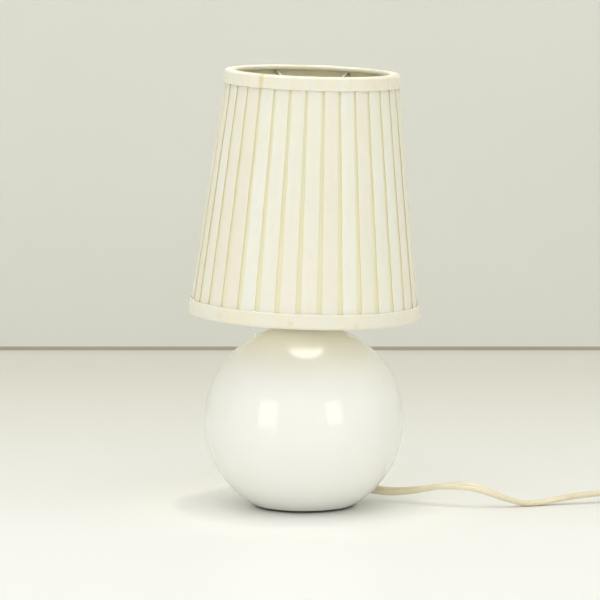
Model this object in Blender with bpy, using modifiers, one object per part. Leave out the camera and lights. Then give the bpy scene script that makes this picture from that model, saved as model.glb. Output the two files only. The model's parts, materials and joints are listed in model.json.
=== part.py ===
"""Small table lamp: a glazed ball base, an E14 holder with a golf-ball bulb, a pleated shade that clips onto the
bulb, and a flat mains cord with an inline switch and a two-pin plug.

Blender 4.5, metres, +Z up. The origin is the middle of the foot, on the table; the front faces -Y and the cord
leaves towards +X. Everything above the ball leans a little: it is modelled upright in its own frame, whose origin
is the middle of the neck seat, and that frame is tilted as one.
"""

import math

import bmesh
import bpy
from mathutils import Matrix, Vector

MM = 0.001
GAP = 0.3 * MM  # left between pieces that touch
MERGE = 0.00001  # merge distance of the modifiers

# Ball base
BALL_RADIUS = 63.7 * MM
BALL_HALF_HEIGHT = 62.2 * MM
BALL_CENTRE_Z = 54.8 * MM
BALL_WALL = 5.0 * MM
PAD_THICKNESS = 1.2 * MM
PAD_INSET = 1.4 * MM
NECK_RADIUS = 15.0 * MM
NECK_RISE = 1.0 * MM  # neck seat above the top of the ball's curve
SEAT_DEPTH = 0.2 * MM  # spot face cut inside, under the neck
LEAN = math.radians(1.9)

# Cord, its hole and bush
CORD_THICKNESS = 3.4 * MM
CORD_WIDTH = 5.6 * MM
CORD_EXIT_Y = 13.6 * MM
CORD_EXIT_Z = 8.2 * MM
BUSH_WALL = 1.25 * MM
BUSH_PROUD = 0.6 * MM
BUSH_INNER_X = 27.0 * MM

# Neck fittings
NIPPLE_RADIUS = 5.0 * MM
NIPPLE_WALL = 1.25 * MM
THREAD_CLEARANCE = 0.3 * MM
NECK_HOLE_CLEARANCE = 0.6 * MM
GASKET_THICKNESS = 1.2 * MM
CAP_THICKNESS = 1.0 * MM
WASHER_RADIUS = 11.0 * MM
WASHER_THICKNESS = 1.5 * MM
NUT_ACROSS_FLATS = 14.0 * MM
NUT_THICKNESS = 3.0 * MM
NIPPLE_BELOW_NUT = 3.0 * MM
NIPPLE_IN_HOLDER = 7.0 * MM

# E14 lampholder
HOLDER_RADIUS = 14.5 * MM
HOLDER_WALL = 1.6 * MM
HOLDER_FOOT_RADIUS = 9.0 * MM
HOLDER_CAP_HEIGHT = 17.0 * MM
HOLDER_SHELL_HEIGHT = 36.5 * MM
HOLDER_LIP = 1.4 * MM
BOSS_HEIGHT = 6.0 * MM
BOSS_WALL = 2.8 * MM
LOCK_SCREW_RADIUS = 1.5 * MM
BLOCK_HEIGHT = 8.0 * MM
TERMINAL_X = 6.4 * MM
TERMINAL_RADIUS = 1.3 * MM
TERMINAL_HEAD_RADIUS = 2.3 * MM
TERMINAL_HEAD_HEIGHT = 1.4 * MM
CORE_RADIUS = 0.9 * MM
SOCKET_SHELL_WALL = 0.4 * MM
SOCKET_SHELL_HEIGHT = 18.0 * MM
CONTACT_RISE = 1.6 * MM

# E14 golf-ball bulb
BULB_RADIUS = 22.5 * MM
BULB_CENTRE_ABOVE_CAP = 33.0 * MM
BULB_NECK_RADIUS = 6.2 * MM
BULB_GLASS = 0.6 * MM
BULB_CAP_RADIUS = 6.9 * MM
BULB_CAP_WALL = 0.3 * MM
BULB_CAP_HEIGHT = 19.0 * MM
BULB_THREAD_PITCH = 2.82 * MM
BULB_THREAD_DEPTH = 0.45 * MM
BULB_THREADS = 4
INSULATOR_HEIGHT = 2.5 * MM
TIP_RADIUS = 2.4 * MM
TIP_HEIGHT = 1.0 * MM
FILAMENT_RADIUS = 0.35 * MM
FILAMENT_SPAN = 16.0 * MM

# Bulb clip and the shade's hub
CLIP_WIRE = 0.8 * MM  # radius
CLIP_LOOP_ELEVATION = math.radians(42)
CLIP_LOOP_SPREAD = math.radians(38)
CLIP_PLATE_RADIUS = 9.0 * MM
CLIP_PLATE_THICKNESS = 1.2 * MM
RIVET_RADIUS = 1.6 * MM
RIVET_HEAD_RADIUS = 3.2 * MM
RIVET_HEAD_THICKNESS = 1.0 * MM
HUB_RADIUS = 10.0 * MM
HUB_THICKNESS = 1.2 * MM

# Shade, over its bands
SHADE_BOTTOM_RADIUS = 74.0 * MM
SHADE_TOP_RADIUS = 55.4 * MM
SHADE_HEIGHT = 155.5 * MM
SHADE_ABOVE_NECK = 4.3 * MM
BAND_HEIGHT = 9.5 * MM
BAND_THICKNESS = 0.6 * MM
BOTTOM_RETURN = 6.0 * MM
TOP_RETURN = 3.0 * MM
COVER_THICKNESS = 1.4 * MM
PLEATS = 34
PLEAT_WIDTH = 8.6 * MM
PLEAT_DEPTH = 1.0 * MM
PLEAT_WALL = 0.15 * MM  # how far a pleat's side slants
GROOVE_AZIMUTH = math.radians(-93.5)
LINING_THICKNESS = 0.4 * MM
RING_WIRE = 1.2 * MM  # radius
ARM_WIRE = 1.0 * MM  # radius
ARM_AZIMUTHS = [math.radians(a) for a in (63, 117, 243, 297)]

# Inline switch
SWITCH_X = 244.0 * MM
SWITCH_Y = 10.5 * MM
SWITCH_LENGTH = 60.0 * MM
SWITCH_WIDTH = 26.0 * MM
SWITCH_HEIGHT = 18.0 * MM
SWITCH_CORNER = 8.0 * MM
SWITCH_EDGE = 1.0 * MM
SWITCH_ROOF = 2.0 * MM
SWITCH_POCKET = (36.0 * MM, 11.6 * MM)
SCREW_PLACES = {"a": (22.0 * MM, 8.0 * MM), "b": (-22.0 * MM, -8.0 * MM)}
SCREW_RADIUS = 1.4 * MM
SCREW_HEAD_RADIUS = 2.6 * MM
SCREW_HEAD_THICKNESS = 1.6 * MM
SCREW_LENGTH = 12.0 * MM
CONTACT_LENGTH = 13.0 * MM
CONTACT_WIDTH = 4.0 * MM
CONTACT_THICKNESS = 0.8 * MM
ROCKER_LENGTH = 14.0 * MM
ROCKER_PROUD = 1.6 * MM
ROCKER_PIVOT_DROP = 4.0 * MM  # below the top of the switch
ROCKER_TILT = math.radians(6)
ROCKER_PIN_RADIUS = 1.2 * MM
ROCKER_PIN_LENGTH = 1.4 * MM
ROCKER_SIDE_GAP = 0.5 * MM

# Coil of put-away cord: two layers, the flat cord on edge
COIL_X = 318.0 * MM
COIL_TURN_RADIUS = 38.1 * MM  # middle of the outermost turn
COIL_PITCH = 3.5 * MM
COIL_TURNS_PER_LAYER = 3.75
COIL_LAYER_HEIGHT = 5.8 * MM
TIE_THICKNESS = 0.8 * MM
TIE_WIDTH = 4.0 * MM
TIE_CORNER = 2.0 * MM

# Two-pin plug
PLUG_X = 290.0 * MM  # the cord's end of the strain relief
PLUG_BODY_LENGTH = 36.0 * MM
PLUG_WIDTH = 35.3 * MM
PLUG_THICKNESS = 13.7 * MM
PLUG_TAIL_WIDTH = 13.0 * MM
PLUG_EDGE = 2.0 * MM
RELIEF_LENGTH = 22.0 * MM
RELIEF_RADII = (3.4 * MM, 5.2 * MM)
PIN_RADIUS = 2.0 * MM
PIN_LENGTH = 19.0 * MM
PIN_SPACING = 18.6 * MM
PIN_INSERT = 6.0 * MM

# Chosen points along the middle of the cord, in millimetres
ROUTE_TO_SWITCH = [
    (36.3, 13.6, 8.2),
    (45.0, 13.2, 7.6),
    (54.0, 11.0, 6.9),
    (63.5, 7.7, 7.6),
    (73.0, 3.6, 9.2),
    (82.5, -1.2, 11.5),
    (92.0, -5.4, 13.2),
    (101.5, -7.9, 13.5),
    (111.0, -9.2, 12.0),
    (119.5, -9.8, 9.1),
    (129.0, -9.2, 5.4),
    (139.0, -6.4, 2.4),
    (148.0, -3.6, 1.9),
    (160.0, -0.4, 3.2),
    (171.0, 2.6, 4.8),
    (181.0, 5.2, 5.6),
    (191.0, 7.8, 6.4),
    (201.0, 9.7, 7.9),
    (210.5, 10.5, 9.1),
    (219.0, 10.5, 9.3),
]
ROUTE_TO_COIL = [
    (269.0, 10.5, 9.3),
    (277.0, 10.5, 9.1),
    (285.0, 10.5, 7.6),
    (292.5, 10.5, 5.7),
    (300.0, 10.5, 4.7),
]
ROUTE_TO_PLUG = [
    (300.0, 86.7, 8.9),
    (295.0, 86.7, 7.9),
    (290.3, 86.7, 7.3),
]

# What follows from the sizes above
NECK_Z = BALL_CENTRE_Z + BALL_HALF_HEIGHT + NECK_RISE
FOOT_Z = PAD_THICKNESS + GAP
NECK_WALL = NECK_RISE + BALL_WALL - SEAT_DEPTH
UPPER = Matrix.Translation((0, 0, NECK_Z)) @ Matrix.Rotation(LEAN, 4, "Y")
CORD_RADIUS = CORD_THICKNESS / 2
BUSH_BORE = CORD_WIDTH / 2 + 0.25 * MM
BUSH_RADIUS = BUSH_BORE + BUSH_WALL

# Heights above the neck seat
GASKET_TOP = GAP + GASKET_THICKNESS
NECK_CAP_BOTTOM = GASKET_TOP + GAP
HOLDER_BOTTOM = NECK_CAP_BOTTOM + CAP_THICKNESS + GAP
HOLDER_JOIN = HOLDER_BOTTOM + HOLDER_CAP_HEIGHT
SHELL_BOTTOM = HOLDER_JOIN + GAP
SHELL_TOP = SHELL_BOTTOM + HOLDER_SHELL_HEIGHT
BLOCK_BOTTOM = SHELL_BOTTOM
BLOCK_TOP = BLOCK_BOTTOM + BLOCK_HEIGHT
NIPPLE_TOP = HOLDER_BOTTOM + NIPPLE_IN_HOLDER
WASHER_TOP = -NECK_WALL - GAP
NUT_TOP = WASHER_TOP - WASHER_THICKNESS - GAP
NIPPLE_BOTTOM = NUT_TOP - NUT_THICKNESS - NIPPLE_BELOW_NUT
TIP_BOTTOM = BLOCK_TOP + GAP + CONTACT_RISE + GAP
INSULATOR_BOTTOM = TIP_BOTTOM + TIP_HEIGHT + GAP
BULB_CAP_BOTTOM = INSULATOR_BOTTOM + INSULATOR_HEIGHT + GAP
BULB_CAP_TOP = BULB_CAP_BOTTOM + BULB_CAP_HEIGHT
BULB_CENTRE = BULB_CAP_TOP + BULB_CENTRE_ABOVE_CAP
BULB_TOP = BULB_CENTRE + BULB_RADIUS
RIVET_BOTTOM = BULB_TOP + GAP + CLIP_WIRE
CLIP_WIRE_HEIGHT = RIVET_BOTTOM + RIVET_HEAD_THICKNESS - CLIP_WIRE
CLIP_PLATE_BOTTOM = RIVET_BOTTOM + RIVET_HEAD_THICKNESS + GAP
HUB_BOTTOM = CLIP_PLATE_BOTTOM + CLIP_PLATE_THICKNESS + GAP
HUB_TOP = HUB_BOTTOM + HUB_THICKNESS
SHADE_BOTTOM = SHADE_ABOVE_NECK
SHADE_TOP = SHADE_BOTTOM + SHADE_HEIGHT
COVER_BOTTOM = SHADE_BOTTOM + BAND_THICKNESS + GAP
COVER_TOP = SHADE_TOP - BAND_THICKNESS - GAP
TOP_RING_HEIGHT = COVER_TOP - RING_WIRE
BOTTOM_RING_HEIGHT = COVER_BOTTOM + RING_WIRE

# Depths inward from the outer face of the shade's bands
COVER_INSET = BAND_THICKNESS + GAP
LINING_INSET = COVER_INSET + COVER_THICKNESS + GAP
RING_INSET = LINING_INSET + LINING_THICKNESS + GAP + RING_WIRE
BAND_INSET = RING_INSET + RING_WIRE + GAP + BAND_THICKNESS

# Switch heights above the table
SWITCH_BOTTOM = GAP
SWITCH_TOP = SWITCH_BOTTOM + SWITCH_HEIGHT
SWITCH_SPLIT = SWITCH_BOTTOM + SWITCH_HEIGHT / 2 - GAP / 2
COIL_BOTTOM = GAP + TIE_THICKNESS + GAP

FINISHES = {
    "glaze": ((0.86, 0.86, 0.83), 0.08, 0.0),
    "felt": ((0.08, 0.07, 0.06), 0.95, 0.0),
    "rubber": ((0.62, 0.55, 0.44), 0.6, 0.0),
    "steel": ((0.60, 0.60, 0.60), 0.35, 1.0),
    "brass": ((0.72, 0.56, 0.27), 0.3, 1.0),
    "bakelite": ((0.78, 0.74, 0.62), 0.35, 0.0),
    "porcelain": ((0.85, 0.84, 0.80), 0.3, 0.0),
    "glass": ((0.90, 0.92, 0.92), 0.05, 0.0),
    "pleats": ((0.88, 0.86, 0.73), 0.8, 0.0),
    "lining": ((0.78, 0.70, 0.46), 0.7, 0.0),
    "cord": ((0.72, 0.65, 0.50), 0.45, 0.0),
    "core_brown": ((0.25, 0.12, 0.06), 0.5, 0.0),
    "core_blue": ((0.08, 0.20, 0.45), 0.5, 0.0),
    "switch": ((0.80, 0.76, 0.64), 0.35, 0.0),
    "paper": ((0.85, 0.85, 0.82), 0.8, 0.0),
}


# --- Helpers -------------------------------------------------------------------------------------------------


def clear_scene():
    for old in list(bpy.data.objects):
        bpy.data.objects.remove(old, do_unlink=True)


def collection(name):
    made = bpy.data.collections.new(name)
    bpy.context.scene.collection.children.link(made)
    return made


def finish(name):
    """The material of that name, made the first time that it is asked for."""
    if name in bpy.data.materials:
        return bpy.data.materials[name]
    colour, roughness, metallic = FINISHES[name]
    made = bpy.data.materials.new(name)
    made.use_nodes = True
    shader = made.node_tree.nodes["Principled BSDF"]
    shader.inputs["Base Color"].default_value = (*colour, 1.0)
    shader.inputs["Roughness"].default_value = roughness
    shader.inputs["Metallic"].default_value = metallic
    return made


def empty(name, parent=None, location=(0, 0, 0), rotation=(0, 0, 0)):
    made = bpy.data.objects.new(name, None)
    made.location, made.rotation_euler = location, rotation
    made.empty_display_size = 10 * MM
    made.parent = parent
    LAMP.objects.link(made)
    return made


def add(name, data, look, parent=None, location=(0, 0, 0), rotation=(0, 0, 0)):
    made = bpy.data.objects.new(name, data)
    made.location, made.rotation_euler = location, rotation
    made.parent = parent
    if look:
        data.materials.append(finish(look))
    LAMP.objects.link(made)
    return made


def smooth(mesh, angle=math.radians(35)):
    mesh.shade_smooth()
    mesh.set_sharp_from_angle(angle=angle)


def as_mesh(name, data, prepare=None):
    """A curve, or a mesh that prepare() adds modifiers to, turned into one welded mesh."""
    holder = bpy.data.objects.new(name, data)
    LAMP.objects.link(holder)
    if prepare:
        prepare(holder)
    bpy.context.view_layer.update()
    made = bpy.data.meshes.new_from_object(holder.evaluated_get(bpy.context.evaluated_depsgraph_get()))
    bpy.data.objects.remove(holder, do_unlink=True)
    shape = bmesh.new()
    shape.from_mesh(made)
    bmesh.ops.remove_doubles(shape, verts=shape.verts, dist=MERGE)
    shape.to_mesh(made)
    shape.free()
    made.materials.clear()
    made.name = name
    smooth(made)
    return made


def turned_mesh(name, profile, segments):
    """A body turned about Z from (radius, height) points, which run down its outer side and up its inner side. The
    profile closes on itself unless it starts on the axis."""
    outline = bpy.data.meshes.new(name)
    edges = [(i, i + 1) for i in range(len(profile) - 1)]
    if profile[0][0] > 0:
        edges.append((len(profile) - 1, 0))
    outline.from_pydata([(r, 0, h) for r, h in profile], edges, [])

    def turn(holder):
        screw = holder.modifiers.new("turn", "SCREW")
        screw.steps = screw.render_steps = segments
        screw.use_merge_vertices = True
        screw.merge_threshold = MERGE

    return as_mesh(name, outline, turn)


def turned(name, profile, look, parent=None, segments=24, **place):
    return add(name, turned_mesh(name, profile, segments), look, parent, **place)


def ring_profile(inner, outer, bottom, top):
    return [(outer, top), (outer, bottom), (inner, bottom), (inner, top)]


def round_profile(radius, wire, height, sides=6):
    """The circle that a wire ring is turned from."""
    turns = [2 * math.pi * i / sides for i in range(sides)]
    return [(radius + wire * math.cos(t), height - wire * math.sin(t)) for t in turns]


def ellipse_arc(radius, half_height, centre, start, end, steps):
    """(radius, height) points of an ellipse about the axis, from one elevation to another."""
    angles = [start + (end - start) * i / steps for i in range(steps + 1)]
    return [(radius * math.cos(t), centre + half_height * math.sin(t)) for t in angles]


def cylinder_mesh(name, radius, length, segments=24, end_radius=None):
    """A cylinder or cone on +Z, from the origin up."""
    shape = bmesh.new()
    bmesh.ops.create_cone(
        shape,
        cap_ends=True,
        segments=segments,
        radius1=radius,
        radius2=radius if end_radius is None else end_radius,
        depth=length,
        matrix=Matrix.Translation((0, 0, length / 2)),
    )
    made = bpy.data.meshes.new(name)
    shape.to_mesh(made)
    shape.free()
    smooth(made)
    return made


def box_mesh(name, size):
    """A box on its middle."""
    shape = bmesh.new()
    bmesh.ops.create_cube(shape, size=1.0, matrix=Matrix.Diagonal((*size, 1)))
    made = bpy.data.meshes.new(name)
    shape.to_mesh(made)
    shape.free()
    return made


def rounded(corners, radius, steps=3):
    """A closed outline with each of its corners rounded to that radius."""
    points = []
    for i, corner in enumerate(corners):
        here = Vector(corner)
        back = (Vector(corners[i - 1]) - here).normalized()
        ahead = (Vector(corners[(i + 1) % len(corners)]) - here).normalized()
        half = back.angle(ahead) / 2
        middle = here + (back + ahead).normalized() * (radius / math.sin(half))
        start = (here + back * (radius / math.tan(half)) - middle).normalized()
        end = (here + ahead * (radius / math.tan(half)) - middle).normalized()
        for k in range(steps + 1):
            points.append(middle + start.slerp(end, k / steps) * radius)
    return points


def rectangle(length, width):
    x, y = length / 2, width / 2
    return [(-x, -y), (x, -y), (x, y), (-x, y)]


def plate_mesh(name, outlines, thickness):
    """Flat closed outlines in XY, the second one a hole in the first, with that thickness about Z = 0."""
    curve = bpy.data.curves.new(name, "CURVE")
    curve.dimensions = "2D"
    curve.fill_mode = "BOTH"
    curve.extrude = thickness / 2
    for outline in outlines:
        spline = curve.splines.new("POLY")
        spline.points.add(len(outline) - 1)
        for point, (x, y) in zip(spline.points, outline, strict=True):
            point.co = (x, y, 0, 1)
        spline.use_cyclic_u = True
    return as_mesh(name, curve)


def bevel(body, width, segments=1):
    edge = body.modifiers.new("edge", "BEVEL")
    edge.width = width
    edge.segments = segments
    edge.limit_method = "ANGLE"
    edge.angle_limit = math.radians(40)


def boolean(body, operation, mesh, parent=None, location=(0, 0, 0), rotation=(0, 0, 0)):
    """Cut, join or trim a body with another mesh, which stays beside it as a guide."""
    guide = bpy.data.objects.new(mesh.name, mesh)
    guide.location, guide.rotation_euler = location, rotation
    guide.parent = parent
    guide.hide_render = True
    guide.display_type = "WIRE"
    GUIDES.objects.link(guide)
    made = body.modifiers.new(mesh.name, "BOOLEAN")
    made.operation = operation
    made.object = guide


def smooth_route(points, spacing):
    """Points that far apart along one smooth curve through the given ones."""
    given = [Vector(p) for p in points]
    ends = [2 * given[0] - given[1], *given, 2 * given[-1] - given[-2]]
    fine = []
    for a, b, c, d in zip(ends, ends[1:], ends[2:], ends[3:]):
        for k in range(16):
            t = k / 16
            fine.append(
                (2 * b + (c - a) * t + (2 * a - 5 * b + 4 * c - d) * t**2 + (3 * b - a - 3 * c + d) * t**3) / 2
            )
    fine.append(given[-1])
    lengths = [0.0]
    for a, b in zip(fine, fine[1:]):
        lengths.append(lengths[-1] + (b - a).length)
    count = max(2, round(lengths[-1] / spacing))
    route, at = [], 0
    for i in range(count + 1):
        want = lengths[-1] * i / count
        while at < len(fine) - 2 and lengths[at + 1] < want:
            at += 1
        share = (want - lengths[at]) / (lengths[at + 1] - lengths[at])
        route.append(fine[at].lerp(fine[at + 1], share))
    return route


def wire(name, points, radius, look, parent=None, closed=False, resolution=1):
    """A round wire or cord along the points. Its sides number twice the resolution plus four."""
    curve = bpy.data.curves.new(name, "CURVE")
    curve.dimensions = "3D"
    curve.bevel_depth = radius
    curve.bevel_resolution = resolution
    curve.use_fill_caps = True
    spline = curve.splines.new("POLY")
    spline.points.add(len(points) - 1)
    for point, place in zip(spline.points, points, strict=True):
        point.co = (*place, 1)
    spline.use_cyclic_u = closed
    spline.use_smooth = True
    return add(name, curve, look, parent)


# --- Ball base and what closes it ------------------------------------------------------------------------------


def ball_profile():
    neck = math.acos(NECK_RADIUS / BALL_RADIUS)
    foot = math.asin((FOOT_Z - BALL_CENTRE_Z) / BALL_HALF_HEIGHT)
    inner_foot = math.asin((FOOT_Z - BALL_CENTRE_Z) / (BALL_HALF_HEIGHT - BALL_WALL))
    over = NECK_Z + NECK_RADIUS * math.tan(LEAN) + MM
    outer = ellipse_arc(BALL_RADIUS, BALL_HALF_HEIGHT, BALL_CENTRE_Z, neck, foot, 15)
    inner = ellipse_arc(
        BALL_RADIUS - BALL_WALL, BALL_HALF_HEIGHT - BALL_WALL, BALL_CENTRE_Z, inner_foot, math.pi / 2, 8
    )
    return [(0, over), (NECK_RADIUS, over), *outer, *inner[:-1], (0, inner[-1][1])]


def ceramic_base():
    body = turned("ceramic_base", ball_profile(), "glaze", segments=44)
    slab = 3 * NECK_RADIUS
    hole = NIPPLE_RADIUS + NECK_HOLE_CLEARANCE
    seat_depth = 3 * BALL_WALL
    boolean(
        body, "DIFFERENCE", box_mesh("neck_trim", (slab, slab, slab)), UPPER_FRAME, location=(0, 0, slab / 2)
    )
    boolean(
        body,
        "DIFFERENCE",
        cylinder_mesh("neck_bore", hole, 4 * BALL_WALL),
        UPPER_FRAME,
        location=(0, 0, -3 * BALL_WALL),
    )
    boolean(
        body,
        "DIFFERENCE",
        cylinder_mesh("neck_spot_face", WASHER_RADIUS + 2 * MM, seat_depth, segments=32),
        UPPER_FRAME,
        location=(0, 0, -NECK_WALL - seat_depth),
    )
    boolean(
        body,
        "DIFFERENCE",
        cylinder_mesh("cord_bore", BUSH_RADIUS + GAP, BALL_RADIUS),
        location=(BUSH_INNER_X - 2 * BALL_WALL, CORD_EXIT_Y, CORD_EXIT_Z),
        rotation=(0, math.pi / 2, 0),
    )


def felt_pad():
    foot = BALL_RADIUS * math.sqrt(1 - ((FOOT_Z - BALL_CENTRE_Z) / BALL_HALF_HEIGHT) ** 2)
    add("felt_pad", cylinder_mesh("felt_pad", foot - PAD_INSET, PAD_THICKNESS, segments=40), "felt")


def cord_bush():
    """A soft sleeve in the cord hole, trimmed to stand just proud of the ball."""
    body = turned(
        "cord_bush",
        ring_profile(BUSH_BORE, BUSH_RADIUS, 0, BALL_RADIUS - BUSH_INNER_X),
        "rubber",
        segments=20,
        location=(BUSH_INNER_X, CORD_EXIT_Y, CORD_EXIT_Z),
        rotation=(0, math.pi / 2, 0),
    )
    reach = ellipse_arc(
        BALL_RADIUS + BUSH_PROUD,
        BALL_HALF_HEIGHT + BUSH_PROUD,
        BALL_CENTRE_Z,
        math.pi / 2,
        -math.pi / 2,
        24,
    )
    reach[0], reach[-1] = (0, reach[0][1]), (0, reach[-1][1])
    boolean(body, "INTERSECT", turned_mesh("bush_reach", reach, 44))


def neck_fittings():
    thread = NIPPLE_RADIUS + THREAD_CLEARANCE
    clear = NIPPLE_RADIUS + NECK_HOLE_CLEARANCE
    rim = NECK_RADIUS + 2 * GAP
    turned("neck_gasket", ring_profile(clear, NECK_RADIUS - GAP, GAP, GASKET_TOP), "rubber", UPPER_FRAME)
    turned(
        "neck_cap",
        [
            (rim + CAP_THICKNESS / 2, NECK_CAP_BOTTOM + CAP_THICKNESS),
            (rim + CAP_THICKNESS, NECK_CAP_BOTTOM + CAP_THICKNESS / 2),
            (rim + CAP_THICKNESS, GAP),
            (rim, GAP),
            (rim, NECK_CAP_BOTTOM),
            (clear, NECK_CAP_BOTTOM),
            (clear, NECK_CAP_BOTTOM + CAP_THICKNESS),
        ],
        "brass",
        UPPER_FRAME,
    )
    turned(
        "threaded_nipple",
        ring_profile(NIPPLE_RADIUS - NIPPLE_WALL, NIPPLE_RADIUS, NIPPLE_BOTTOM, NIPPLE_TOP),
        "steel",
        UPPER_FRAME,
        segments=24,
    )
    turned(
        "inner_washer",
        ring_profile(thread, WASHER_RADIUS, WASHER_TOP - WASHER_THICKNESS, WASHER_TOP),
        "steel",
        UPPER_FRAME,
        segments=24,
    )
    nut = cylinder_mesh("lock_nut", NUT_ACROSS_FLATS / math.sqrt(3), NUT_THICKNESS, segments=6)
    body = add("lock_nut", nut, "steel", UPPER_FRAME, location=(0, 0, NUT_TOP - NUT_THICKNESS))
    boolean(
        body,
        "DIFFERENCE",
        cylinder_mesh("nut_bore", thread, 3 * NUT_THICKNESS),
        UPPER_FRAME,
        location=(0, 0, NUT_TOP - 2 * NUT_THICKNESS),
    )


# --- Lampholder ------------------------------------------------------------------------------------------------


def holder_base_cap():
    bore = NIPPLE_RADIUS + THREAD_CLEARANCE
    boss = bore + BOSS_WALL
    waist = HOLDER_BOTTOM + HOLDER_CAP_HEIGHT / 2
    inside = HOLDER_RADIUS - HOLDER_WALL
    body = turned(
        "holder_base_cap",
        [
            (HOLDER_RADIUS, HOLDER_JOIN),
            (HOLDER_RADIUS, waist),
            (HOLDER_RADIUS - HOLDER_WALL, waist - 3 * MM),
            (HOLDER_FOOT_RADIUS, HOLDER_BOTTOM),
            (bore, HOLDER_BOTTOM),
            (bore, HOLDER_BOTTOM + BOSS_HEIGHT),
            (boss, HOLDER_BOTTOM + BOSS_HEIGHT),
            (inside, waist),
            (inside, HOLDER_JOIN),
        ],
        "bakelite",
        UPPER_FRAME,
    )
    height = HOLDER_BOTTOM + BOSS_HEIGHT / 2
    start = NIPPLE_RADIUS + GAP
    length = HOLDER_FOOT_RADIUS + MM - start
    boolean(
        body,
        "DIFFERENCE",
        cylinder_mesh("lock_screw_bore", LOCK_SCREW_RADIUS + GAP, HOLDER_RADIUS, segments=12),
        UPPER_FRAME,
        location=(NIPPLE_RADIUS, 0, height),
        rotation=(0, math.pi / 2, 0),
    )
    add(
        "holder_lock_screw",
        cylinder_mesh("holder_lock_screw", LOCK_SCREW_RADIUS, length, segments=12),
        "steel",
        UPPER_FRAME,
        location=(start, 0, height),
        rotation=(0, math.pi / 2, 0),
    )


def holder_insert():
    """The terminal block with its contacts and screws, inside the outer shell."""
    socket = BULB_CAP_RADIUS + 2 * GAP
    block = add(
        "holder_terminal_block",
        cylinder_mesh("holder_terminal_block", HOLDER_RADIUS - HOLDER_WALL - GAP, BLOCK_HEIGHT, segments=32),
        "porcelain",
        UPPER_FRAME,
        location=(0, 0, BLOCK_BOTTOM),
    )
    for side, name in ((-1, "live"), (1, "neutral")):
        boolean(
            block,
            "DIFFERENCE",
            cylinder_mesh(f"terminal_bore_{name}", TERMINAL_RADIUS + GAP, BLOCK_HEIGHT, segments=12),
            UPPER_FRAME,
            location=(side * TERMINAL_X, 0, BLOCK_BOTTOM - BLOCK_HEIGHT / 4),
        )
        head = BLOCK_BOTTOM - GAP
        turned(
            f"terminal_screw_{name}",
            [
                (0, head + 0.6 * BLOCK_HEIGHT),
                (TERMINAL_RADIUS, head + 0.6 * BLOCK_HEIGHT),
                (TERMINAL_RADIUS, head),
                (TERMINAL_HEAD_RADIUS, head),
                (TERMINAL_HEAD_RADIUS, head - TERMINAL_HEAD_HEIGHT),
                (0, head - TERMINAL_HEAD_HEIGHT),
            ],
            "brass",
            UPPER_FRAME,
            segments=12,
            location=(side * TERMINAL_X, 0, 0),
        )
    turned(
        "holder_screw_shell",
        ring_profile(
            socket, socket + SOCKET_SHELL_WALL, BLOCK_TOP + GAP, BLOCK_TOP + GAP + SOCKET_SHELL_HEIGHT
        ),
        "brass",
        UPPER_FRAME,
        segments=24,
    )
    leaf = 0.4 * MM
    add(
        "holder_centre_contact",
        plate_mesh(
            "holder_centre_contact",
            [
                [
                    (-4.5 * MM, 0),
                    (4 * MM, 0),
                    (4.5 * MM, CONTACT_RISE - leaf),
                    (2 * MM, CONTACT_RISE),
                    (-2 * MM, CONTACT_RISE),
                    (-2 * MM, CONTACT_RISE - leaf),
                    (3 * MM, CONTACT_RISE - leaf),
                    (3 * MM, leaf),
                    (-4.5 * MM, leaf),
                ]
            ],
            3 * MM,
        ),
        "brass",
        UPPER_FRAME,
        location=(0, 0, BLOCK_TOP + GAP),
        rotation=(math.pi / 2, 0, 0),
    )


def holder_outer_shell():
    inside = HOLDER_RADIUS - HOLDER_WALL
    turned(
        "holder_outer_shell",
        [
            (HOLDER_RADIUS - HOLDER_WALL / 2, SHELL_TOP),
            (HOLDER_RADIUS, SHELL_TOP - HOLDER_WALL / 2),
            (HOLDER_RADIUS, SHELL_BOTTOM),
            (inside, SHELL_BOTTOM),
            (inside, SHELL_TOP - HOLDER_WALL),
            (inside - HOLDER_LIP, SHELL_TOP - HOLDER_WALL),
            (inside - HOLDER_LIP, SHELL_TOP),
        ],
        "bakelite",
        UPPER_FRAME,
    )


def lead_and_cores():
    """The sheathed lead from the bush up through the nipple, and its two cores to the terminal screws."""
    top = NIPPLE_TOP + MM
    route = [
        Vector(ROUTE_TO_SWITCH[0]) * MM - Vector((GAP, 0, 0)),
        Vector((BUSH_INNER_X, CORD_EXIT_Y, CORD_EXIT_Z)),
        Vector((BUSH_INNER_X / 2, CORD_EXIT_Y / 2, CORD_EXIT_Z + 10 * MM)),
        Vector((0, 0, BALL_CENTRE_Z)),
        UPPER @ Vector((0, 0, NIPPLE_BOTTOM - 8 * MM)),
        UPPER @ Vector((0, 0, NIPPLE_BOTTOM)),
        UPPER @ Vector((0, 0, top)),
    ]
    wire("inner_lead", smooth_route(route, 8 * MM), CORD_RADIUS, "cord", resolution=2)
    head = BLOCK_BOTTOM - GAP - TERMINAL_HEAD_HEIGHT - GAP - CORE_RADIUS
    for side, name, look in ((-1, "live", "core_brown"), (1, "neutral", "core_blue")):
        points = [
            (side * 1.4 * MM, 0, top + GAP),
            (side * 1.8 * MM, 0, top + 2.5 * MM),
            (side * 4.0 * MM, 0, head - MM),
            (side * (TERMINAL_X + 1.5 * MM), 0, head),
        ]
        wire(f"wire_{name}", smooth_route(points, 1.6 * MM), CORE_RADIUS, look, UPPER_FRAME)


# --- Bulb ------------------------------------------------------------------------------------------------------


def bulb_cap_side(radius):
    """Down the threaded side of the screw cap."""
    threads = BULB_THREADS * BULB_THREAD_PITCH
    start = BULB_CAP_BOTTOM + MM
    points = [(radius, BULB_CAP_TOP)]
    for i in range(2 * BULB_THREADS, -1, -1):
        depth = BULB_THREAD_DEPTH * (i % 2)
        points.append((radius - depth, start + threads * i / (2 * BULB_THREADS)))
    return points


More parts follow.
